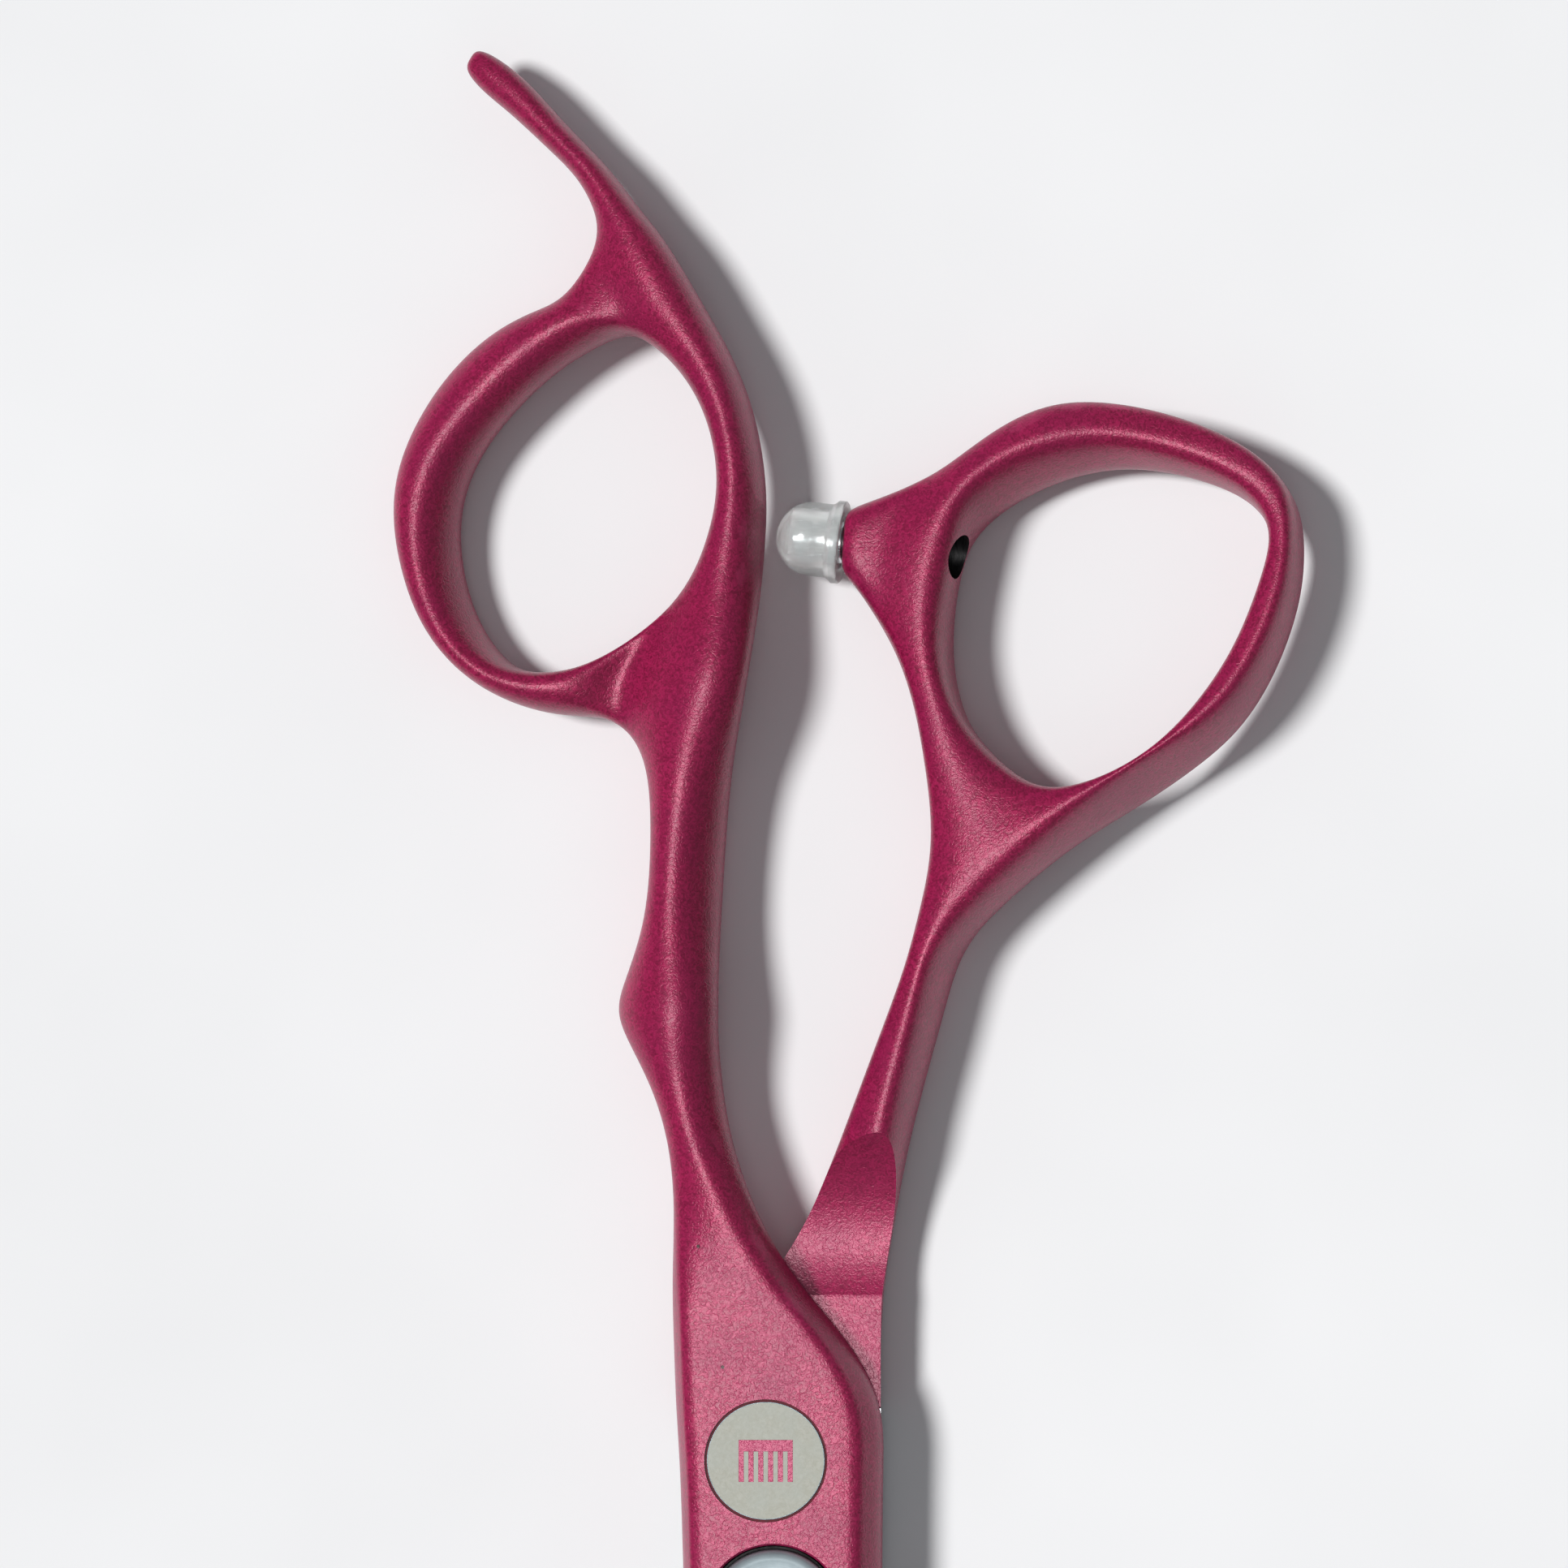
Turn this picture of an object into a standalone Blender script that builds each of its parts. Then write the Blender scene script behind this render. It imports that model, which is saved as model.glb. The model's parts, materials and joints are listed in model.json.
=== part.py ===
"""Offset hair cutting shears, closed, with their pivot stack and silicone stop.

X runs across the shears, Y along them with the blades towards -Y, and Z up through the pivot.
The origin is on the pivot axis at the back face of the pivot bolt. Sizes are in millimetres.
The upper half carries the finger ring, the lower half the thumb ring.
"""

import math
from collections import namedtuple

import bmesh
import bpy
from mathutils import Matrix, Vector

MM = 0.001

# Overall sizes
BLADE_LENGTH = 68.0  # pivot axis to blade tip
HANDLE_LENGTH = 84.6  # pivot axis to the far side of the finger ring
HALF_THICKNESS = 3.2  # each half at the pivot
RIDE_GAP = 0.1  # between the two halves

# Handles
FINGER_SHANK_DEPTH = 6.0
THUMB_SHANK_DEPTH = 5.4
FINGER_RING_DEPTH = 5.4
THUMB_RING_DEPTH = 5.8
FINGER_REST_DEPTH = 3.4
EDGE_BAND = 1.7  # width of the sloped band along the outer side of the pivot block
EDGE_BAND_DROP = 1.9
EDGE_ROUND = 0.6
RELIEF_RADIUS = 11.2  # scoop in the thumb shank that clears the upper half
RELIEF_CENTRE_Y = 23.6
RELIEF_DIP = 0.45  # how far the scoop goes under the ride face
RELIEF_ARC = 62  # degrees of the scoop's arc above its lowest point
RELIEF_SPAN = 30.0  # reach of the relief cutter on every side
RIDE_ALLOWANCE = 0.3  # extra metal on the thumb forging, taken off by the ride face

# Blades
WELD_Y = -9.0  # upper half: where the painted forging meets the blade
PLATE_Y = 13.2  # lower half: where the painted forging meets the pivot plate
WELD_GAP = 0.1
TIP_THICKNESS = 1.3
EDGE_THICKNESS = 0.14  # share of the blade's thickness left at the cutting edge
HOLLOW = 0.1  # share of the thickness ground out of the inner face

# Pivot stack
FIT_GAP = 0.1  # between pieces that touch on the real shears
CUT_PAST = 4.0  # how far a cutter runs past what it cuts
BOLT_HEAD_DIAMETER = 7.6
BOLT_HEAD_THICKNESS = 1.2
BOLT_HEAD_PROUD = 0.4
BOLT_SHAFT_DIAMETER = 4.0
BOLT_NECK_DIAMETER = BOLT_SHAFT_DIAMETER + 1.4
BOLT_NECK_FLATS = BOLT_SHAFT_DIAMETER + 0.4
BOLT_SLOT_WIDTH = 0.8
BOLT_SLOT_DEPTH = 0.5
BOLT_CHAMFER = 0.2
BOLT_END_PROUD = 0.1  # end of the shaft above the pivot block
BUSH_WALL = 0.5
RECESS_CLEARANCE = 0.3  # between the dial and the wall of its recess
RECESS_DEPTH = 1.9
CLICK_RING_THICKNESS = 0.5
WASHER_THICKNESS = 0.25
WASHER_DISH = 0.2
DIAL_DIAMETER = 8.4
DIAL_THICKNESS = 1.2
DIAL_CHAMFER = 0.25
DIAL_HUB_WALL = 0.7
SCOOP_RADIUS = 2.2
SCOOP_DEPTH = 0.45
SCOOP_OFFSET = 2.7

# Bumper between the rings
BUMPER_DIAMETER = 4.8
BUMPER_LENGTH = 4.5
BUMPER_DOME = 2.3
BUMPER_LIP = 0.3  # how far the flange stands out from the body
BUMPER_FLANGE_WIDTH = 0.5
BUMPER_DIRECTION = (-0.992, 0.126, -0.16)
STUD_DIAMETER = 2.7
STUD_HEAD_INSET = 1.2  # clear silicone in front of the stud
STUD_COLLAR_LIP = 0.45
STUD_COLLAR_WIDTH = 0.7
STUD_CHAMFER = 0.25
STUD_GRIP = 4.6  # length screwed into the boss
BOSS_HOLE_LENGTH = 14.0  # from the boss end through the ring's inner wall

# Levels that follow from the sizes above
UNDERSIDE = BOLT_HEAD_PROUD
RIDE_LOW = UNDERSIDE + HALF_THICKNESS
RIDE_HIGH = RIDE_LOW + RIDE_GAP
TOPSIDE = RIDE_HIGH + HALF_THICKNESS
RECESS_FLOOR = TOPSIDE - RECESS_DEPTH
RECESS_RADIUS = DIAL_DIAMETER / 2 + RECESS_CLEARANCE
HUB_RADIUS = BOLT_SHAFT_DIAMETER / 2 + FIT_GAP + DIAL_HUB_WALL
BUSH_RADIUS = BOLT_SHAFT_DIAMETER / 2 + FIT_GAP + BUSH_WALL
UPPER_MID = (RIDE_HIGH + TOPSIDE) / 2
LOWER_MID = (UNDERSIDE + RIDE_LOW) / 2
RIDE = (RIDE_LOW + RIDE_HIGH) / 2

# The outlines are drawn for these lengths and stretched beyond the pivot block.
DRAWN_HANDLE = 84.6
DRAWN_BLADE = 68.0
BLOCK_END = 24.0

# Fineness of the round shapes
CAGE_LEVELS = 1
TURNED_STEPS = 48
DOME_STEPS = 6
RELIEF_STEPS = 16
SCOOP_SEGMENTS = 24

Station = namedtuple("Station", "left right mid depth lean soft")

# The handles are lofts through stations. left and right are the outline points on the two sides
# of the path, mid and depth its middle level and its thickness, lean how far the section tips per
# unit of depth, and soft how round it is, from 0, flat-sided, to 1.

# The upper half, from the weld to the tip of the finger rest.
FINGER_SPINE = (
    Station((-4.6, WELD_Y), (6.7, WELD_Y), UPPER_MID, HALF_THICKNESS, (0.0, 0.0), 0.0),
    Station((-5.55, -4.0), (7.0, -4.0), UPPER_MID, HALF_THICKNESS, (0.0, 0.0), 0.0),
    Station((-5.85, 3.0), (7.05, 3.0), UPPER_MID, HALF_THICKNESS, (0.0, 0.0), 0.0),
    Station((-6.05, 9.0), (7.08, 9.0), UPPER_MID, HALF_THICKNESS, (0.0, 0.0), 0.0),
    Station((-6.3, 13.0), (6.95, 13.0), UPPER_MID, HALF_THICKNESS, (0.0, 0.0), 0.0),
    Station((-6.45, 17.0), (5.15, 17.0), UPPER_MID, HALF_THICKNESS, (0.0, 0.0), 0.0),
    Station((-6.6, 21.0), (1.9, 21.0), UPPER_MID, HALF_THICKNESS, (0.0, 0.0), 0.1),
    Station((-6.6, 25.0), (-0.6, 25.0), UPPER_MID, HALF_THICKNESS + 0.2, (-0.15, 0.0), 0.35),
    Station((-6.8, 30.0), (-2.6, 30.0), RIDE + 1.2, FINGER_SHANK_DEPTH - 1.4, (-0.55, 0.0), 0.7),
    Station((-7.9, 34.0), (-3.3, 34.0), RIDE + 0.85, FINGER_SHANK_DEPTH - 0.6, (-0.75, 0.0), 1.0),
    Station((-9.6, 37.4), (-3.6, 37.4), RIDE + 0.75, FINGER_SHANK_DEPTH, (-0.8, 0.0), 1.0),
    Station((-9.95, 39.2), (-3.6, 39.2), RIDE + 0.75, FINGER_SHANK_DEPTH, (-0.8, 0.0), 1.0),
    Station((-9.55, 41.0), (-3.58, 41.0), RIDE + 0.75, FINGER_SHANK_DEPTH, (-0.8, 0.0), 1.0),
    Station((-8.3, 45.0), (-3.4, 45.0), RIDE + 0.75, FINGER_SHANK_DEPTH, (-0.8, 0.0), 1.0),
    Station((-7.95, 50.0), (-3.1, 50.0), RIDE + 0.75, FINGER_SHANK_DEPTH, (-0.8, 0.0), 1.0),
    Station((-8.15, 54.4), (-2.7, 54.4), RIDE + 0.75, FINGER_SHANK_DEPTH, (-0.8, 0.0), 1.0),
    Station((-9.1, 57.0), (-2.2, 57.8), RIDE + 0.75, FINGER_SHANK_DEPTH, (-0.85, 0.05), 1.0),
    Station((-9.2, 60.6), (-1.6, 61.4), RIDE + 0.75, FINGER_SHANK_DEPTH - 0.2, (-0.8, 0.1), 1.0),
    Station((-6.1, 65.0), (-0.95, 65.6), RIDE + 0.85, FINGER_RING_DEPTH, (-0.65, 0.15), 1.0),
    Station((-4.35, 69.0), (-0.62, 69.4), RIDE + 0.95, FINGER_RING_DEPTH - 0.2, (-0.5, 0.15), 1.0),
    Station((-3.65, 73.0), (-0.5, 73.0), RIDE + 1.0, FINGER_RING_DEPTH - 0.4, (-0.42, 0.15), 1.0),
    Station((-4.35, 77.0), (-1.25, 77.6), RIDE + 0.95, FINGER_RING_DEPTH - 0.4, (-0.42, 0.15), 1.0),
    Station((-6.1, 80.2), (-2.75, 81.5), RIDE + 0.85, FINGER_RING_DEPTH - 0.2, (-0.4, 0.15), 1.0),
    Station((-8.6, 82.75), (-4.7, 84.9), RIDE + 0.75, FINGER_RING_DEPTH - 0.2, (-0.4, 0.15), 1.0),
    Station((-10.4, 85.2), (-6.0, 87.2), RIDE + 0.65, FINGER_RING_DEPTH - 0.2, (-0.4, 0.15), 1.0),
    Station((-11.15, 88.2), (-7.4, 89.4), RIDE + 0.6, FINGER_REST_DEPTH + 1.2, (-0.4, 0.15), 1.0),
    Station((-11.5, 90.4), (-8.9, 91.3), RIDE + 0.55, FINGER_REST_DEPTH + 0.8, (-0.4, 0.15), 1.0),
    Station((-12.75, 92.75), (-10.8, 93.75), RIDE + 0.45, FINGER_REST_DEPTH + 0.4, (-0.35, 0.15), 1.0),
    Station((-14.6, 94.7), (-13.15, 96.05), RIDE + 0.35, FINGER_REST_DEPTH, (-0.3, 0.1), 1.0),
    Station((-17.0, 97.0), (-15.55, 98.7), RIDE + 0.25, FINGER_REST_DEPTH - 0.4, (-0.2, 0.1), 1.0),
    Station((-18.7, 98.4), (-17.4, 100.3), RIDE + 0.2, FINGER_REST_DEPTH - 0.8, (-0.1, 0.0), 1.0),
    Station((-20.1, 99.9), (-19.2, 101.4), RIDE + 0.2, FINGER_REST_DEPTH - 1.6, (0.0, 0.0), 1.0),
)
FINGER_RING_LOWER = 16  # the station before the ring leaves the spine
FINGER_RING_UPPER = 23  # the station before it comes back

# The far side of the finger ring, clockwise from the shank: left is outside, right is inside.
FINGER_RING = (
    Station((-11.3, 57.98), (-10.2, 61.8), RIDE, FINGER_RING_DEPTH, (-0.7, 0.2), 1.0),
    Station((-14.8, 58.2), (-13.9, 60.8), RIDE - 0.1, FINGER_RING_DEPTH, (-0.7, 0.2), 1.0),
    Station((-18.7, 59.6), (-17.2, 61.6), RIDE - 0.3, FINGER_RING_DEPTH, (-0.7, 0.2), 1.0),
    Station((-22.0, 62.7), (-19.35, 64.5), RIDE - 0.6, FINGER_RING_DEPTH + 0.2, (-0.7, 0.2), 1.0),
    Station((-23.95, 67.0), (-20.25, 67.9), RIDE - 0.75, FINGER_RING_DEPTH + 0.2, (-0.7, 0.2), 1.0),
    Station((-24.6, 71.5), (-20.3, 71.3), RIDE - 0.8, FINGER_RING_DEPTH + 0.2, (-0.7, 0.2), 1.0),
    Station((-23.7, 75.6), (-19.2, 74.6), RIDE - 0.75, FINGER_RING_DEPTH + 0.2, (-0.7, 0.2), 1.0),
    Station((-21.3, 79.8), (-17.0, 77.5), RIDE - 0.6, FINGER_RING_DEPTH, (-0.7, 0.25), 1.0),
    Station((-18.1, 82.95), (-14.6, 79.8), RIDE - 0.3, FINGER_RING_DEPTH, (-0.7, 0.25), 1.0),
    Station((-15.2, 84.5), (-12.4, 81.3), RIDE - 0.1, FINGER_RING_DEPTH, (-0.6, 0.25), 1.0),
    Station((-13.2, 85.5), (-10.4, 82.3), RIDE, FINGER_RING_DEPTH, (-0.6, 0.25), 1.0),
)

# The lower half, from the pivot plate along the shank and round the thumb ring, clockwise.
THUMB_BLOCK_DEPTH = HALF_THICKNESS + RIDE_ALLOWANCE
THUMB_BLOCK_MID = LOWER_MID + RIDE_ALLOWANCE / 2
THUMB_SPINE = (
    Station((-5.0, PLATE_Y), (6.95, PLATE_Y), THUMB_BLOCK_MID, THUMB_BLOCK_DEPTH, (0.0, 0.0), 0.0),
    Station((-3.1, 17.0), (6.98, 17.0), THUMB_BLOCK_MID + 0.2, THUMB_BLOCK_DEPTH + 0.4, (0.0, 0.0), 0.0),
    Station((-0.5, 21.0), (7.2, 21.0), RIDE - 0.9, THUMB_SHANK_DEPTH - 0.6, (-0.1, 0.0), 0.3),
    Station((2.0, 25.0), (7.85, 25.0), RIDE - 0.6, THUMB_SHANK_DEPTH - 0.2, (-0.3, 0.0), 0.7),
    Station((3.9, 29.5), (8.7, 29.5), RIDE - 0.4, THUMB_SHANK_DEPTH, (-0.45, 0.0), 1.0),
    Station((5.6, 34.0), (9.8, 34.0), RIDE - 0.2, THUMB_SHANK_DEPTH, (-0.5, 0.0), 1.0),
    Station((7.1, 38.0), (10.9, 38.0), RIDE, THUMB_SHANK_DEPTH, (-0.5, 0.0), 1.0),
    Station((8.45, 41.8), (11.8, 41.2), RIDE + 0.1, THUMB_SHANK_DEPTH, (-0.5, 0.1), 1.0),
    Station((9.35, 45.2), (12.9, 44.1), RIDE + 0.2, THUMB_SHANK_DEPTH, (-0.48, 0.2), 1.0),
    Station((10.25, 49.4), (14.5, 49.5), RIDE + 0.3, THUMB_SHANK_DEPTH, (-0.45, 0.3), 1.0),
    Station((10.1, 54.2), (13.2, 56.0), RIDE + 0.2, THUMB_RING_DEPTH, (-0.4, 0.35), 1.0),
    Station((9.2, 58.3), (12.1, 59.3), RIDE + 0.1, THUMB_RING_DEPTH, (-0.36, 0.4), 1.0),
    Station((7.9, 62.4), (11.55, 63.2), RIDE, THUMB_RING_DEPTH, (-0.36, 0.42), 1.0),
    Station((7.0, 68.0), (12.3, 67.9), RIDE - 0.1, THUMB_RING_DEPTH, (-0.25, 0.45), 1.0),
    Station((11.1, 73.65), (13.7, 70.3), RIDE - 0.3, THUMB_RING_DEPTH + 0.4, (-0.34, 0.48), 1.0),
    Station((14.7, 76.6), (16.6, 72.3), RIDE - 0.45, THUMB_RING_DEPTH + 0.6, (-0.34, 0.5), 1.0),
    Station((18.7, 78.25), (19.3, 73.5), RIDE - 0.4, THUMB_RING_DEPTH + 0.4, (-0.34, 0.48), 1.0),
    Station((23.0, 78.15), (22.6, 74.1), RIDE - 0.2, THUMB_RING_DEPTH - 0.2, (-0.34, 0.44), 1.0),
    Station((27.3, 77.0), (26.2, 73.7), RIDE + 0.05, THUMB_RING_DEPTH - 0.8, (-0.34, 0.4), 1.0),
    Station((31.1, 75.1), (29.6, 72.6), RIDE + 0.3, THUMB_RING_DEPTH - 1.1, (-0.34, 0.38), 1.0),
    Station((33.7, 72.4), (31.5, 71.0), RIDE + 0.5, THUMB_RING_DEPTH - 1.2, (-0.34, 0.38), 1.0),
    Station((34.45, 69.0), (32.0, 69.0), RIDE + 0.65, THUMB_RING_DEPTH - 1.2, (-0.34, 0.4), 1.0),
    Station((34.15, 65.4), (31.2, 66.2), RIDE + 0.8, THUMB_RING_DEPTH - 1.0, (-0.34, 0.4), 1.0),
    Station((32.6, 61.0), (29.6, 62.3), RIDE + 0.9, THUMB_RING_DEPTH - 0.8, (-0.35, 0.42), 1.0),
    Station((29.9, 56.8), (27.2, 58.8), RIDE + 1.0, THUMB_RING_DEPTH - 0.5, (-0.36, 0.42), 1.0),
    Station((25.9, 53.7), (23.9, 55.5), RIDE + 0.95, THUMB_RING_DEPTH - 0.2, (-0.36, 0.42), 1.0),
    Station((21.9, 51.0), (20.4, 53.95), RIDE + 0.8, THUMB_RING_DEPTH, (-0.38, 0.4), 1.0),
    Station((17.7, 48.4), (17.0, 53.7), RIDE + 0.6, THUMB_RING_DEPTH, (-0.42, 0.35), 1.0),
)
THUMB_RING_JOIN = 8  # the ring comes back into the shank after this station
THUMB_BOSS_ROOT = 12  # the bumper boss leaves the ring after this station

THUMB_BOSS = (
    Station((5.3, 66.6), (5.8, 71.75), RIDE - 0.45, THUMB_RING_DEPTH - 1.0, (-0.16, 0.05), 1.0),
    Station((4.5, 67.2), (4.75, 71.3), RIDE - 0.6, BUMPER_DIAMETER - 0.4, (-0.16, 0.02), 1.0),
)

# The blades, from the handle end to the tip: the outline at +X and at -X, the thickness, and how
# far the section has gone from a flat plate, 0, to a ground blade, 1.
FINGER_BLADE = (
    ((6.7, WELD_Y), (-4.6, WELD_Y), HALF_THICKNESS, 0.0),
    ((6.45, -13.0), (-3.0, -13.0), HALF_THICKNESS, 0.6),
    ((6.2, -18.0), (-1.7, -18.0), HALF_THICKNESS - 0.1, 1.0),
    ((5.8, -26.0), (-1.2, -26.0), HALF_THICKNESS - 0.4, 1.0),
    ((5.0, -37.0), (-1.0, -37.0), HALF_THICKNESS - 0.7, 1.0),
    ((3.9, -49.0), (-0.8, -49.0), HALF_THICKNESS - 1.1, 1.0),
    ((2.7, -59.0), (-0.55, -59.0), TIP_THICKNESS + 0.4, 1.0),
    ((1.6, -65.5), (-0.25, -65.5), TIP_THICKNESS + 0.1, 1.0),
    ((0.85, -68.0), (0.1, -68.0), TIP_THICKNESS, 1.0),
)
THUMB_BLADE = (
    ((6.95, PLATE_Y), (-5.0, PLATE_Y), HALF_THICKNESS, 0.0),
    ((7.0, 8.0), (-5.55, 8.0), HALF_THICKNESS, 0.0),
    ((6.9, 2.0), (-5.8, 2.0), HALF_THICKNESS, 0.0),
    ((6.3, -4.0), (-6.1, -4.0), HALF_THICKNESS, 0.0),
    ((4.9, WELD_Y), (-6.15, WELD_Y), HALF_THICKNESS, 0.2),
    ((3.2, -13.5), (-6.0, -13.5), HALF_THICKNESS, 0.7),
    ((2.2, -18.5), (-5.7, -18.5), HALF_THICKNESS - 0.1, 1.0),
    ((1.7, -26.0), (-5.2, -26.0), HALF_THICKNESS - 0.4, 1.0),
    ((1.5, -37.0), (-4.4, -37.0), HALF_THICKNESS - 0.7, 1.0),
    ((1.3, -49.0), (-3.3, -49.0), HALF_THICKNESS - 1.1, 1.0),
    ((1.05, -59.0), (-2.1, -59.0), TIP_THICKNESS + 0.4, 1.0),
    ((0.75, -65.5), (-1.0, -65.5), TIP_THICKNESS + 0.1, 1.0),
    ((0.4, -68.0), (-0.25, -68.0), TIP_THICKNESS, 1.0),
)

# A section has eight points, in this order round it.
RIGHT, TOP_RIGHT, TOP, TOP_LEFT, LEFT, LOW_LEFT, LOW, LOW_RIGHT = range(8)
CORNERS = (TOP_RIGHT, TOP_LEFT, LOW_LEFT, LOW_RIGHT)
FORGED_CREASE = 0.8

# How square a handle's rounded sections are, and the support exponent of the outline they settle on
Roundness = namedtuple("Roundness", "corner exponent")
FINGER_ROUND = Roundness(0.76, 1.9)
THUMB_ROUND = Roundness(0.9, 1.5)


def clear_scene():
    for item in list(bpy.data.objects):
        bpy.data.objects.remove(item, do_unlink=True)


def collection(name):
    made = bpy.data.collections.new(name)
    bpy.context.scene.collection.children.link(made)
    return made


def material(name, color, roughness, metallic, transmission=0.0):
    made = bpy.data.materials.new(name)
    made.use_nodes = True
    made.diffuse_color = (*color, 1.0)
    shader = made.node_tree.nodes["Principled BSDF"]
    shader.inputs["Base Color"].default_value = (*color, 1.0)
    shader.inputs["Roughness"].default_value = roughness
    shader.inputs["Metallic"].default_value = metallic
    shader.inputs["Transmission Weight"].default_value = transmission
    return made


def stretched(point):
    """A drawn outline point, moved along Y for the real lengths of the handles and blades."""
    x, y = point
    if y > BLOCK_END:
        y = BLOCK_END + (y - BLOCK_END) * (HANDLE_LENGTH - BLOCK_END) / (DRAWN_HANDLE - BLOCK_END)
    elif y < WELD_Y:
        y = WELD_Y + (y - WELD_Y) * (BLADE_LENGTH + WELD_Y) / (DRAWN_BLADE + WELD_Y)
    return Vector((x, y))


def held(points, closed_ends=(None, None)):
    """Pushes each inner point of a bent run out by what subdivision will pull it in.

    closed_ends gives the neighbours beyond the first and last point, where the run is joined on.
    """
    before, after = closed_ends
    run = [before or points[0]] + list(points) + [after or points[-1]]
    moved = []
    for i in range(1, len(run) - 1):
        end = (i == 1 and before is None) or (i == len(run) - 2 and after is None)
        settled = (run[i - 1] + 4 * run[i] + run[i + 1]) / 6
        moved.append(run[i].copy() if end else 2 * run[i] - settled)
    return moved


def round_profile(roundness):
    """A rounded section, as shares of its half width and half depth."""
    c = roundness.corner
    kept = (4 + 2 * c) / 6
    rows = [(1, 0), (c, c), (0, 1), (-c, c), (-1, 0), (-c, -c), (0, -1), (c, -c)]
    return [(x / kept, z / kept) for x, z in rows]


def block_profile(half_width, half_depth):
    """A flat-sided section with a sloped band along its upper right edge."""
    band = 1 - EDGE_BAND / half_width
    drop = 1 - EDGE_BAND_DROP / half_depth
    left = EDGE_ROUND / half_width - 1
    return [(1, drop), (band, 1), (0, 1), (left, 1), (-1, 0), (-1, -1), (0, -1), (1, -1)]


def plain_profile(*_sizes):
    """A rectangle, whatever its size."""
    return [(1, 0), (1, 1), (0, 1), (-1, 1), (-1, 0), (-1, -1), (0, -1), (1, -1)]


def wedge_profile(side):
    """A blade section: flat hollow inner face, convex outer face, cutting edge on the right."""
    edge = 2 * EDGE_THICKNESS - 1
    hollow = 2 * HOLLOW - 1
    outer = [(1, edge), (0.55, 0.0), (-0.1, 0.72), (-0.85, 1), (-1, 0.3)]
    rows = outer + [(-1, -1), (0, hollow), (1, -1)]
    if side > 0:
        return rows
    turned = [(-x, -z) for x, z in rows]
    return turned[4:] + turned[:4]


def mixed(first, second, share):
    return [
        (a[0] * (1 - share) + b[0] * share, a[1] * (1 - share) + b[1] * share)
        for a, b in zip(first, second)
    ]


def round_half_width(reach, half_depth, slope, roundness):
    """Half the width of a rounded section that reaches this far sideways once it leans."""
    tip = math.atan(abs(slope))
    q = roundness.exponent
    left_over = reach**q - (half_depth * math.sin(tip)) ** q
    return max(left_over, 0.05) ** (1 / q) / math.cos(tip)


def section(left, right, station, flat_profile, roundness):
    """The eight points of a handle section."""
    across = right - left
    reach = across.length / 2
    across = across / across.length
    soft, half_depth, lean = station.soft, station.depth / 2, Vector(station.lean)
    slope = across.dot(lean)
    half_width = reach * (1 - soft) + round_half_width(reach, half_depth, slope, roundness) * soft
    side = Vector((across.x, across.y, -slope)).normalized()
    up = Vector((*lean, 1)).normalized()
    centre = Vector(((left.x + right.x) / 2, (left.y + right.y) / 2, station.mid))
    shares = mixed(flat_profile(half_width, half_depth), round_profile(roundness), soft)
    return [centre + side * (x * half_width) + up * (z * half_depth) for x, z in shares]


def handle_sections(stations, flat_profile, roundness, ends=(None, None)):
    lefts = [stretched(s.left) for s in stations]
    rights = [stretched(s.right) for s in stations]
    beyond = [[None if e is None else stretched(e[side]) for e in ends] for side in (0, 1)]
    lefts = held(lefts, beyond[0])
    rights = held(rights, beyond[1])
    return [
        section(left, right, s, flat_profile, roundness)
        for left, right, s in zip(lefts, rights, stations)
    ]


def add_rows(mesh, sections):
    return [[mesh.verts.new(point * MM) for point in points] for points in sections]


def add_ring_faces(mesh, first, second):
    for i in range(8):
        j = (i + 1) % 8
        mesh.faces.new((first[i], first[j], second[j], second[i]))


def add_cap(mesh, row, centre, outward):
    """Closes a row with four quads round a middle point."""
    middle = mesh.verts.new(centre * MM)
    for i in range(0, 8, 2):
        corner = (row[i], row[i + 1], row[(i + 2) % 8], middle)
        mesh.faces.new(corner if outward else corner[::-1])


def mean(points):
    return sum(points, Vector()) / len(points)


def crease_layer(mesh):
    layers = mesh.edges.layers.float
    return layers.get("crease_edge") or layers.new("crease_edge")


def crease_rows(mesh, rows, softness, which, amount):
    """Sharpens the long edges of a path, less where its stations are soft."""
    layer = crease_layer(mesh)
    for i in range(len(rows) - 1):
        for row in which:
            edge = mesh.edges.get((rows[i][row], rows[i + 1][row]))
            edge[layer] = amount * (1 - max(softness[i], softness[i + 1]))


def crease_end(mesh, row):
    layer = crease_layer(mesh)
    for i in range(8):
        mesh.edges.get((row[i], row[(i + 1) % 8]))[layer] = 1.0


def side_opening(mesh, rows, first, column):
    """Opens two by two faces on one side of a path and returns the eight points round the hole.

    They are ordered as the rows of a section that leaves the path there.
    """
    before, middle, after = rows[first], rows[first + 1], rows[first + 2]
    up, down = (column - 1, column + 1) if column == LEFT else (TOP_RIGHT, LOW_RIGHT)
    hole = middle[column]
    bmesh.ops.delete(mesh, geom=[hole], context="VERTS")
    return [
        after[column],
        after[up],
        middle[up],
        before[up],
        before[column],
        before[down],
        middle[down],
        after[down],
    ]


def cage_object(name, mesh, levels, surface, home):
    bmesh.ops.recalc_face_normals(mesh, faces=mesh.faces)
    data = bpy.data.meshes.new(name)
    mesh.to_mesh(data)
    mesh.free()
    data.shade_smooth()
    made = bpy.data.objects.new(name, data)
    home.objects.link(made)
    data.materials.append(surface)
    smooth = made.modifiers.new("smooth", "SUBSURF")
    smooth.levels = levels
    smooth.render_levels = levels
    return made


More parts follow.
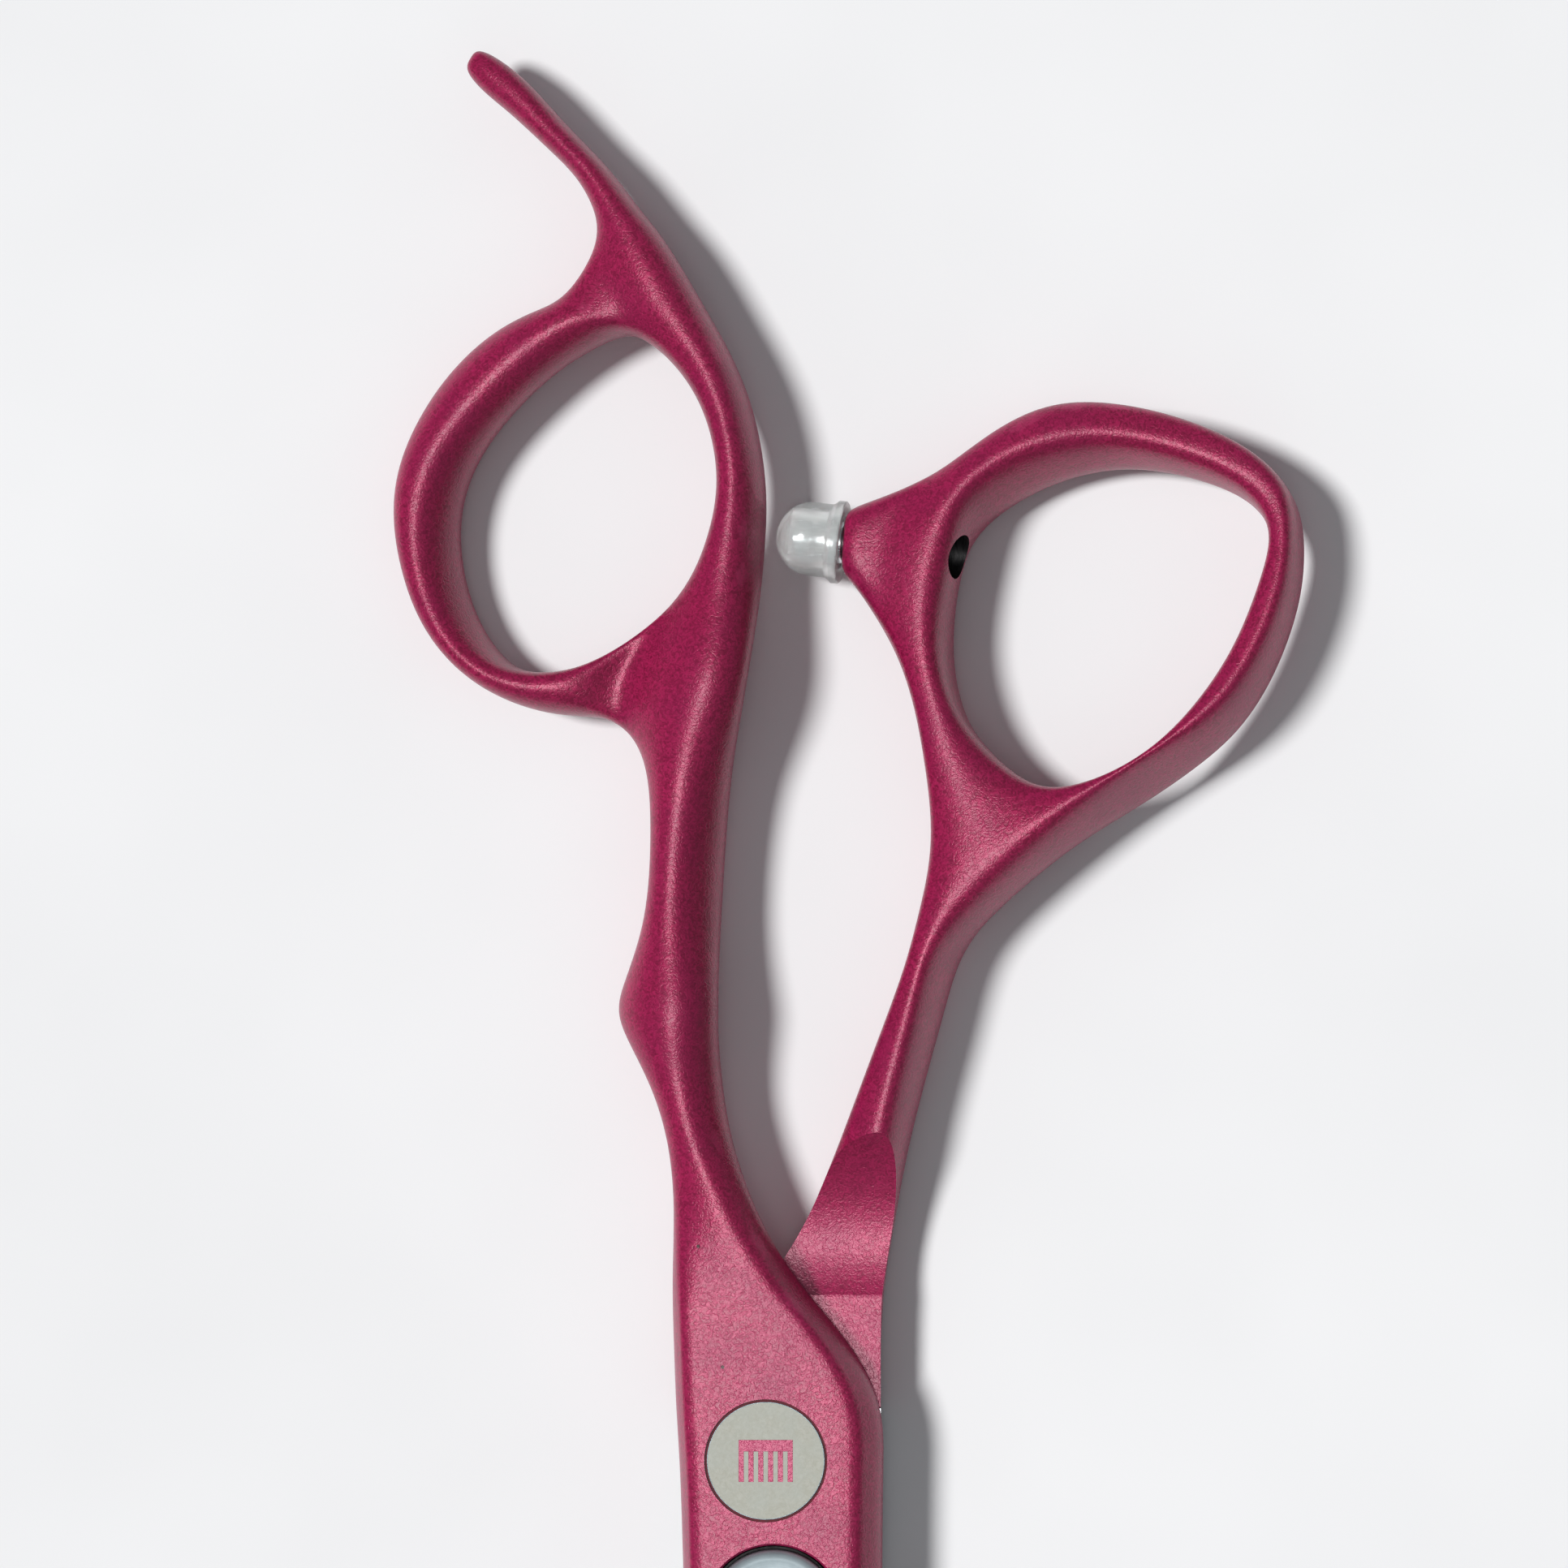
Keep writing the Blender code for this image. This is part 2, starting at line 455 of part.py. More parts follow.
def finger_handle(surface, home):
    mesh = bmesh.new()
    spine = add_rows(mesh, handle_sections(FINGER_SPINE, block_profile, FINGER_ROUND))
    for first, second in zip(spine, spine[1:]):
        add_ring_faces(mesh, first, second)
    add_cap(mesh, spine[0], mean([v.co / MM for v in spine[0]]), True)
    add_cap(mesh, spine[-1], mean([v.co / MM for v in spine[-1]]), False)
    crease_rows(mesh, spine, [s.soft for s in FINGER_SPINE], CORNERS, FORGED_CREASE)
    crease_end(mesh, spine[0])
    lower, upper = FINGER_RING_LOWER, FINGER_RING_UPPER
    start = (FINGER_SPINE[lower].left, FINGER_SPINE[lower + 2].left)
    finish = (FINGER_SPINE[upper + 2].left, FINGER_SPINE[upper].left)
    ring_sections = handle_sections(FINGER_RING, block_profile, FINGER_ROUND, (start, finish))
    ring = add_rows(mesh, ring_sections)
    for first, second in zip(ring, ring[1:]):
        add_ring_faces(mesh, first, second)
    leaving = side_opening(mesh, spine, lower, LEFT)
    coming = side_opening(mesh, spine, upper, LEFT)
    add_ring_faces(mesh, leaving, ring[0])
    add_ring_faces(mesh, ring[-1], [coming[(4 - i) % 8] for i in range(8)])
    return cage_object("finger_handle", mesh, CAGE_LEVELS, surface, home)


def thumb_handle(surface, home):
    mesh = bmesh.new()
    join, root = THUMB_RING_JOIN, THUMB_BOSS_ROOT
    finish = (THUMB_SPINE[join].right, THUMB_SPINE[join + 2].right)
    sections = handle_sections(THUMB_SPINE, plain_profile, THUMB_ROUND, (None, finish))
    path = add_rows(mesh, sections)
    for first, second in zip(path, path[1:]):
        add_ring_faces(mesh, first, second)
    add_cap(mesh, path[0], mean([v.co / MM for v in path[0]]), True)
    crease_rows(mesh, path, [s.soft for s in THUMB_SPINE], CORNERS, FORGED_CREASE)
    crease_end(mesh, path[0])
    boss = add_rows(mesh, handle_sections(THUMB_BOSS, plain_profile, THUMB_ROUND))
    for first, second in zip(boss, boss[1:]):
        add_ring_faces(mesh, first, second)
    add_cap(mesh, boss[-1], mean([v.co / MM for v in boss[-1]]), False)
    coming = side_opening(mesh, path, join, RIGHT)
    leaving = side_opening(mesh, path, root, LEFT)
    add_ring_faces(mesh, path[-1], coming)
    add_ring_faces(mesh, leaving, boss[0])
    return cage_object("thumb_handle", mesh, CAGE_LEVELS, surface, home)


def blade(name, outline, side, surface, home):
    """A blade whose inner face lies on the ride plane: side is 1 above it and -1 below."""
    ride = RIDE_HIGH if side > 0 else RIDE_LOW
    sections = []
    for left, right, depth, wedge in outline:
        left = stretched(left)
        right = stretched(right)
        half_width = (left - right).length / 2
        centre = Vector(((left.x + right.x) / 2, (left.y + right.y) / 2, ride + side * depth / 2))
        shares = mixed(plain_profile(half_width, depth / 2), wedge_profile(side), wedge)
        sections.append([centre + Vector((-x * half_width, 0, z * depth / 2)) for x, z in shares])
    for point in range(8):
        sections[0][point].y -= WELD_GAP
    mesh = bmesh.new()
    rows = add_rows(mesh, sections)
    for first, second in zip(rows, rows[1:]):
        add_ring_faces(mesh, first, second)
    add_cap(mesh, rows[0], mean(sections[0]), True)
    add_cap(mesh, rows[-1], mean(sections[-1]), False)
    sharp = (RIGHT, LOW_RIGHT, LOW_LEFT) if side > 0 else (LEFT, TOP_LEFT, TOP_RIGHT)
    crease_rows(mesh, rows, [wedge for *_, wedge in outline], CORNERS, 1.0)
    crease_rows(mesh, rows, [0.0] * len(rows), sharp, 1.0)
    crease_end(mesh, rows[0])
    return cage_object(name, mesh, CAGE_LEVELS, surface, home)


def turned(name, profile, surface, home):
    """A solid of revolution about Z. The profile runs down its outer side."""
    data = bpy.data.meshes.new(name)
    points = [(r * MM, 0, z * MM) for r, z in profile]
    closed = profile[0][0] > 0
    edges = [(i, i + 1) for i in range(len(points) - 1)]
    if closed:
        edges.append((len(points) - 1, 0))
    data.from_pydata(points, edges, [])
    made = bpy.data.objects.new(name, data)
    home.objects.link(made)
    data.materials.append(surface)
    spin = made.modifiers.new("spin", "SCREW")
    spin.steps = TURNED_STEPS
    spin.render_steps = TURNED_STEPS
    spin.use_merge_vertices = True
    spin.merge_threshold = 1e-5
    spin.use_normal_calculate = False
    return made


def cutter(made):
    made.hide_render = True
    made.display_type = "WIRE"
    return made


def round_cutter(name, radius, low, high, home):
    mesh = bmesh.new()
    at = Matrix.Translation((0, 0, (low + high) / 2 * MM))
    bmesh.ops.create_cone(
        mesh, cap_ends=True, segments=TURNED_STEPS, radius1=radius * MM, radius2=radius * MM,
        depth=(high - low) * MM, matrix=at,
    )
    return cutter(mesh_object(name, mesh, home))


def mesh_object(name, mesh, home):
    data = bpy.data.meshes.new(name)
    mesh.to_mesh(data)
    mesh.free()
    made = bpy.data.objects.new(name, data)
    home.objects.link(made)
    return made


def box_mesh(size, centre):
    mesh = bmesh.new()
    bmesh.ops.create_cube(mesh, size=1.0)
    bmesh.ops.scale(mesh, vec=Vector(size) * MM, verts=mesh.verts)
    bmesh.ops.translate(mesh, vec=Vector(centre) * MM, verts=mesh.verts)
    return mesh


def cut(target, tool):
    """Cuts the target with a tool, which then moves with it."""
    step = target.modifiers.new(tool.name, "BOOLEAN")
    step.operation = "DIFFERENCE"
    step.object = tool
    tool.parent = target


def cut_flats(bar, diameter, flats, low, high, home):
    """Cuts a round bar down to two flats, one on each side in X."""
    for sign, side in ((-1, "a"), (1, "b")):
        centre = (sign * (flats + diameter) / 2, 0, (low + high) / 2)
        block = box_mesh((diameter, 2 * diameter, high - low), centre)
        cut(bar, cutter(mesh_object(f"{bar.name}_flat_{side}", block, home)))


def relief_cutter(home):
    """What the ride face and its scoop take off the thumb forging: a side view drawn in Y and Z."""
    lowest = RIDE_LOW - RELIEF_DIP
    centre_z = lowest + RELIEF_RADIUS
    half_start = math.acos((centre_z - RIDE_LOW) / RELIEF_RADIUS)
    half_end = math.radians(RELIEF_ARC)
    outline = [(-RELIEF_SPAN, RIDE_LOW)]
    for i in range(RELIEF_STEPS + 1):
        angle = -half_start + (half_start + half_end) * i / RELIEF_STEPS
        y = RELIEF_CENTRE_Y + RELIEF_RADIUS * math.sin(angle)
        outline.append((y, centre_z - RELIEF_RADIUS * math.cos(angle)))
    outline.append((outline[-1][0], TOPSIDE + RELIEF_SPAN))
    outline.append((-RELIEF_SPAN, TOPSIDE + RELIEF_SPAN))
    mesh = bmesh.new()
    face = mesh.faces.new([mesh.verts.new(Vector((-RELIEF_SPAN, y, z)) * MM) for y, z in outline])
    grown = bmesh.ops.extrude_face_region(mesh, geom=[face])
    moved = [item for item in grown["geom"] if isinstance(item, bmesh.types.BMVert)]
    bmesh.ops.translate(mesh, vec=(2 * RELIEF_SPAN * MM, 0, 0), verts=moved)
    bmesh.ops.recalc_face_normals(mesh, faces=mesh.faces)
    return cutter(mesh_object("relief_cutter", mesh, home))


def bumper_frame():
    """Where the bumper's own Z axis points and stands: out of the boss, towards the finger shank."""
    end = THUMB_BOSS[-1]
    middle = (stretched(end.left) + stretched(end.right)) / 2
    out = Vector(BUMPER_DIRECTION).normalized()
    turn = out.to_track_quat("Z", "Y").to_matrix().to_4x4()
    return Matrix.Translation(Vector((middle.x, middle.y, end.mid)) * MM) @ turn


def pivot_bolt(surface, home, cutters):
    neck_top = RIDE_LOW - 2 * FIT_GAP
    shaft_top = TOPSIDE + BOLT_END_PROUD
    head = BOLT_HEAD_DIAMETER / 2
    neck = BOLT_NECK_DIAMETER / 2
    shaft = BOLT_SHAFT_DIAMETER / 2
    profile = [
        (0, shaft_top), (shaft - BOLT_CHAMFER, shaft_top), (shaft, shaft_top - BOLT_CHAMFER),
        (shaft, neck_top), (neck, neck_top), (neck, BOLT_HEAD_THICKNESS),
        (head, BOLT_HEAD_THICKNESS), (head, BOLT_CHAMFER), (head - BOLT_CHAMFER, 0), (0, 0),
    ]
    bolt = turned("pivot_bolt", profile, surface, home)
    low, high = BOLT_HEAD_THICKNESS, neck_top + FIT_GAP
    cut_flats(bolt, BOLT_NECK_DIAMETER, BOLT_NECK_FLATS, low, high, cutters)
    size = (BOLT_SLOT_WIDTH, BOLT_HEAD_DIAMETER, 2 * BOLT_SLOT_DEPTH)
    cut(bolt, cutter(mesh_object("bolt_slot", box_mesh(size, (0, 0, shaft_top)), cutters)))
    return bolt


def tube_profile(inner, outer, low, high):
    return [(inner, high), (outer, high), (outer, low), (inner, low)]


def pivot_bush(surface, home):
    inner = BOLT_SHAFT_DIAMETER / 2 + FIT_GAP
    low, high = RIDE_HIGH + FIT_GAP, RECESS_FLOOR - FIT_GAP
    return turned("pivot_bush", tube_profile(inner, BUSH_RADIUS, low, high), surface, home)


def click_ring(surface, home):
    outer = RECESS_RADIUS - FIT_GAP
    inner = HUB_RADIUS + 4 * FIT_GAP
    low = RECESS_FLOOR + FIT_GAP
    profile = tube_profile(inner, outer, low, low + CLICK_RING_THICKNESS)
    return turned("click_ring", profile, surface, home)


def spring_washer(surface, home):
    outer = DIAL_DIAMETER / 2 - 2 * FIT_GAP
    inner = HUB_RADIUS + FIT_GAP
    low = RECESS_FLOOR + CLICK_RING_THICKNESS + 2 * FIT_GAP
    rise, thick = WASHER_DISH, WASHER_THICKNESS
    profile = [(inner, low + rise + thick), (outer, low + thick), (outer, low), (inner, low + rise)]
    return turned("spring_washer", profile, surface, home)


def tension_dial(surface, home, cutters):
    inner = BOLT_SHAFT_DIAMETER / 2 + FIT_GAP
    outer = DIAL_DIAMETER / 2
    low = RECESS_FLOOR + CLICK_RING_THICKNESS + WASHER_THICKNESS + WASHER_DISH + 3 * FIT_GAP
    high = low + DIAL_THICKNESS
    foot = RECESS_FLOOR + FIT_GAP
    profile = [
        (inner, high), (outer - DIAL_CHAMFER, high), (outer, high - DIAL_CHAMFER), (outer, low),
        (HUB_RADIUS, low), (HUB_RADIUS, foot), (inner, foot),
    ]
    dial = turned("tension_dial", profile, surface, home)
    centre_z = high + SCOOP_RADIUS - SCOOP_DEPTH
    for sign, side in ((-1, "a"), (1, "b")):
        mesh = bmesh.new()
        bmesh.ops.create_uvsphere(
            mesh, u_segments=SCOOP_SEGMENTS, v_segments=SCOOP_SEGMENTS * 2 // 3,
            radius=SCOOP_RADIUS * MM,
            matrix=Matrix.Translation(Vector((sign * SCOOP_OFFSET, 0, centre_z)) * MM),
        )
        cut(dial, cutter(mesh_object(f"dial_scoop_{side}", mesh, cutters)))
    return dial


def bumper(surface, home, frame):
    body = BUMPER_DIAMETER / 2
    flange = body + BUMPER_LIP
    pocket = STUD_DIAMETER / 2 + FIT_GAP
    collar = pocket + STUD_COLLAR_LIP
    base = FIT_GAP
    collar_top = base + STUD_COLLAR_WIDTH + 2 * FIT_GAP
    pocket_top = BUMPER_LENGTH - STUD_HEAD_INSET + FIT_GAP
    dome = []
    for i in range(DOME_STEPS + 1):
        angle = math.pi / 2 * i / DOME_STEPS
        dome.append((body * math.sin(angle), BUMPER_LENGTH - BUMPER_DOME * (1 - math.cos(angle))))
    flange_top = base + BUMPER_FLANGE_WIDTH
    profile = dome + [
        (body, flange_top + BUMPER_LIP), (flange, flange_top), (flange, base), (collar, base),
        (collar, collar_top), (pocket, collar_top), (pocket, pocket_top), (0, pocket_top),
    ]
    made = turned("bumper", profile, surface, home)
    made.matrix_world = frame
    return made


def bumper_stud(surface, home, frame):
    stud = STUD_DIAMETER / 2
    collar = stud + STUD_COLLAR_LIP
    top = BUMPER_LENGTH - STUD_HEAD_INSET
    low = 2 * FIT_GAP
    high = low + STUD_COLLAR_WIDTH
    profile = [
        (0, top), (stud - STUD_CHAMFER, top), (stud, top - STUD_CHAMFER), (stud, high),
        (collar, high), (collar, low), (stud, low), (stud, -STUD_GRIP), (0, -STUD_GRIP),
    ]
    made = turned("bumper_stud", profile, surface, home)
    made.matrix_world = frame
    return made


def half(name, home, pieces):
    """Hangs the pieces of one half on an empty at the pivot, so that turning it opens the shears."""
    pivot = bpy.data.objects.new(name, None)
    home.objects.link(pivot)
    for piece in pieces:
        piece.parent = pivot
    return pivot


def upper_half(paint, steel, bronze, nylon, home, cutters):
    handle = finger_handle(paint, home)
    recess = round_cutter("recess", RECESS_RADIUS, RECESS_FLOOR, TOPSIDE + CUT_PAST, cutters)
    cut(handle, recess)
    bore = BUSH_RADIUS + FIT_GAP
    cut(handle, round_cutter("bush_bore", bore, RIDE_LOW - CUT_PAST, TOPSIDE, cutters))
    ground = blade("finger_blade", FINGER_BLADE, 1, steel, home)
    stack = [pivot_bush(bronze, home), click_ring(nylon, home), spring_washer(steel, home)]
    return half("upper_half", home, [handle, ground] + stack)


def lower_half(paint, steel, bright, silicone, home, cutters):
    handle = thumb_handle(paint, home)
    cut(handle, relief_cutter(cutters))
    frame = bumper_frame()
    boss_hole = STUD_DIAMETER / 2 + FIT_GAP
    hole = round_cutter("boss_hole", boss_hole, -BOSS_HOLE_LENGTH, CUT_PAST, cutters)
    hole.matrix_world = frame
    cut(handle, hole)

    plate = blade("thumb_blade", THUMB_BLADE, -1, steel, home)
    head_pocket = BOLT_HEAD_DIAMETER / 2 + FIT_GAP
    pocket_top = BOLT_HEAD_THICKNESS + FIT_GAP
    cut(plate, round_cutter("head_pocket", head_pocket, -CUT_PAST, pocket_top, cutters))
    neck = BOLT_NECK_DIAMETER + 2 * FIT_GAP
    low, high = -CUT_PAST, RIDE_LOW + CUT_PAST
    neck_hole = round_cutter("neck_hole", neck / 2, UNDERSIDE, RIDE_LOW + FIT_GAP, cutters)
    cut_flats(neck_hole, neck, BOLT_NECK_FLATS + 2 * FIT_GAP, low, high, cutters)
    cut(plate, neck_hole)

    bolt = pivot_bolt(bright, home, cutters)
    stop = [bumper(silicone, home, frame), bumper_stud(bright, home, frame)]
    return half("lower_half", home, [handle, plate, bolt] + stop)


def build():
    clear_scene()
    home = collection("hair_cutting_shears")
    cutters = collection("cutters")
    paint = material("magenta_paint", (0.32, 0.01, 0.07), 0.35, 0.6)
    steel = material("polished_steel", (0.62, 0.62, 0.64), 0.18, 1.0)
    bright = material("satin_steel", (0.55, 0.57, 0.6), 0.3, 1.0)
    nylon = material("black_nylon", (0.015, 0.015, 0.015), 0.5, 0.0)
    bronze = material("bush_bronze", (0.5, 0.33, 0.14), 0.4, 1.0)
    silicone = material("clear_silicone", (0.75, 0.85, 0.85), 0.15, 0.0, 0.9)

    upper_half(paint, steel, bronze, nylon, home, cutters)
    lower = lower_half(paint, steel, bright, silicone, home, cutters)
    tension_dial(bright, home, cutters).parent = lower


build()
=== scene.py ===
"""Looks of the hair cutting shears: enamelled handles, ground blades, pivot stack, silicone stop.

Sizes are in millimetres in the frame of the CAD part, and MM turns them into metres. The blades point
to -Y, the pivot is the Z axis, and the levels and radii of the pivot stack are read from the frame.
"""

import json
import math
from collections import namedtuple

import bmesh
import bpy
from mathutils import Matrix, Vector


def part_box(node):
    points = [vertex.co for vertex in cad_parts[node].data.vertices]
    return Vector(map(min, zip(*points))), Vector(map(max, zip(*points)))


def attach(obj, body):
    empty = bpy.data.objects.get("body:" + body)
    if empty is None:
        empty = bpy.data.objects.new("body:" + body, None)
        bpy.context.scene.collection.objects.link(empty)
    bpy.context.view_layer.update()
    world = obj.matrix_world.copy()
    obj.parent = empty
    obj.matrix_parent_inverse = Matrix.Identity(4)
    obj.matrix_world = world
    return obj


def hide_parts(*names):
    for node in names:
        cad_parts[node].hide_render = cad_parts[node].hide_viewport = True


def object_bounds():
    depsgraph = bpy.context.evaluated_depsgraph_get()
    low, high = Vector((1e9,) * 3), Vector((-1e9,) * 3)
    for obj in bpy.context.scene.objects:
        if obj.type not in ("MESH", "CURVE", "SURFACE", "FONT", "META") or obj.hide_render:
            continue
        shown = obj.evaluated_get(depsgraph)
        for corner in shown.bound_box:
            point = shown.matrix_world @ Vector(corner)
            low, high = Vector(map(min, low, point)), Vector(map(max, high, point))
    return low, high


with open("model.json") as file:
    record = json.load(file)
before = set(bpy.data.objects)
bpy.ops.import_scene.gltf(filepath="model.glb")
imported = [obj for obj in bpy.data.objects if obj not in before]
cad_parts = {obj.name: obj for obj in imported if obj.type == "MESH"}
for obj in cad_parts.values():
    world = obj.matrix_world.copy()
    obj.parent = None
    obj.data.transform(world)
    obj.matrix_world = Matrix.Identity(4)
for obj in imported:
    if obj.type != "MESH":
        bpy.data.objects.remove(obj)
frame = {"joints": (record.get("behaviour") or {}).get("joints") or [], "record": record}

MM = 0.001
cad_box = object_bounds()


def low_corner(node):
    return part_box(node)[0] / MM


def high_corner(node):
    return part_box(node)[1] / MM


FIT_GAP = 0.1
CUT_PAST = 4.0

# Levels and radii that the frame gives
TOPSIDE = frame["record"]["mounts"][1]["pos_m"][2] / MM
DISC_CENTRE = Vector(frame["record"]["mounts"][1]["pos_m"][:2]) / MM
RIDE = frame["joints"][0]["pos_m"][2] / MM
RIDE_LOW = high_corner("thumb_blade").z
RIDE_HIGH = low_corner("finger_blade").z
UNDERSIDE = low_corner("thumb_blade").z
HALF_THICKNESS = TOPSIDE - RIDE_HIGH
UPPER_MID = (RIDE_HIGH + TOPSIDE) / 2
LOWER_MID = (UNDERSIDE + RIDE_LOW) / 2
RECESS_FLOOR = low_corner("click_ring").z - FIT_GAP
DIAL_RADIUS = high_corner("tension_dial").x
RECESS_RADIUS = high_corner("click_ring").x + FIT_GAP
BUSH_RADIUS = high_corner("pivot_bush").x
HEAD_RADIUS = high_corner("pivot_bolt").x

# Handles
FINGER_SHANK_DEPTH = 6.0
THUMB_SHANK_DEPTH = 5.4
FINGER_RING_DEPTH = 5.4
THUMB_RING_DEPTH = 5.8
FINGER_REST_DEPTH = 3.4
EDGE_BAND = 1.7
EDGE_BAND_DROP = 1.9
EDGE_ROUND = 0.6
RELIEF_RADIUS = 11.2
RELIEF_CENTRE_Y = 23.6
RELIEF_DIP = 0.45
RELIEF_ARC = 62
RELIEF_SPAN = 30.0
RIDE_ALLOWANCE = 0.3

# Blades
WELD_Y = -9.0
PLATE_Y = 13.2
WELD_GAP = 0.1
TIP_THICKNESS = 1.3
EDGE_THICKNESS = 0.14
HOLLOW = 0.1

# Pivot stack and stop
BOLT_HEAD_THICKNESS = 1.2
BOLT_CHAMFER = 0.2
BOLT_RING_OUTER = 2.4
BOLT_RING_INNER = 2.0
BOLT_RING_DEPTH = 0.06
BOLT_SHAFT_RADIUS = 2.0
BOLT_NECK_DIAMETER = 5.4
BOLT_NECK_FLATS = 4.4
BOLT_SLOT_WIDTH = 0.8
BOLT_SLOT_DEPTH = 0.5
THREAD_PITCH = 0.35
THREAD_DEPTH = 0.12
HUB_RADIUS = 2.8
RECESS_RIM = 0.12
RING_CHAMFER = 0.08
WASHER_THICKNESS = 0.25
WASHER_RISE = 0.2
DIAL_THICKNESS = 1.2
DIAL_COUNTERSINK = 0.25
SCOOP_RADIUS = 2.2
SCOOP_DEPTH = 0.45
SCOOP_OFFSET = 2.7
BUMPER_DIAMETER = 4.8
BUMPER_LENGTH = 4.5
BUMPER_DOME = 2.3
BUMPER_LIP = 0.3
BUMPER_FLANGE_WIDTH = 0.5
BUMPER_DIRECTION = (-0.992, 0.126, -0.16)
STUD_DIAMETER = 2.7
STUD_HEAD_INSET = 1.2
STUD_COLLAR_LIP = 0.45
STUD_COLLAR_WIDTH = 0.7
STUD_GRIP = 4.6
STUD_HEAD_LENGTH = 1.25
STUD_HEAD_CHAMFER = 0.25
STUD_GROOVE_WIDTH = 0.35
STUD_GROOVE_DEPTH = 0.35
STUD_CHAMFER = 0.1
STUD_TIP_CHAMFER = 0.2
PRESS_GAP = 0.02
BOSS_HOLE_LENGTH = 14.0

# Etched disc and its comb
DISC_RADIUS = 3.8
DISC_SUNK = 0.1
DISC_RIM = 0.07
# Width of the groove round the disc, whose faces carry a dark painted shade
DISC_SHADED_GROOVE = 0.17
DISC_DROP = 0.015
DISC_FOOT_GAP = 0.005
RIM_OVERLAP = 0.01
RIM_CHAMFER = 0.02
COMB_WIDTH = 3.5
COMB_HEIGHT = 2.7
COMB_BACK = 0.75
COMB_TOOTH = 0.34
COMB_TEETH = 6
COMB_DROP = 0.002
COMB_OVERLAP = 0.02
COMB_CLEARANCE = 0.02

# Fineness
CAGE_LEVELS = 3
TURNED_STEPS = 128
RELIEF_STEPS = 64
DOME_STEPS = 24
SCOOP_SEGMENTS = 96
SCOOP_RINGS = 64
FORGED_CREASE = 0.5
SHARP_ANGLE = math.radians(35)

Station = namedtuple("Station", "left right mid depth lean soft")

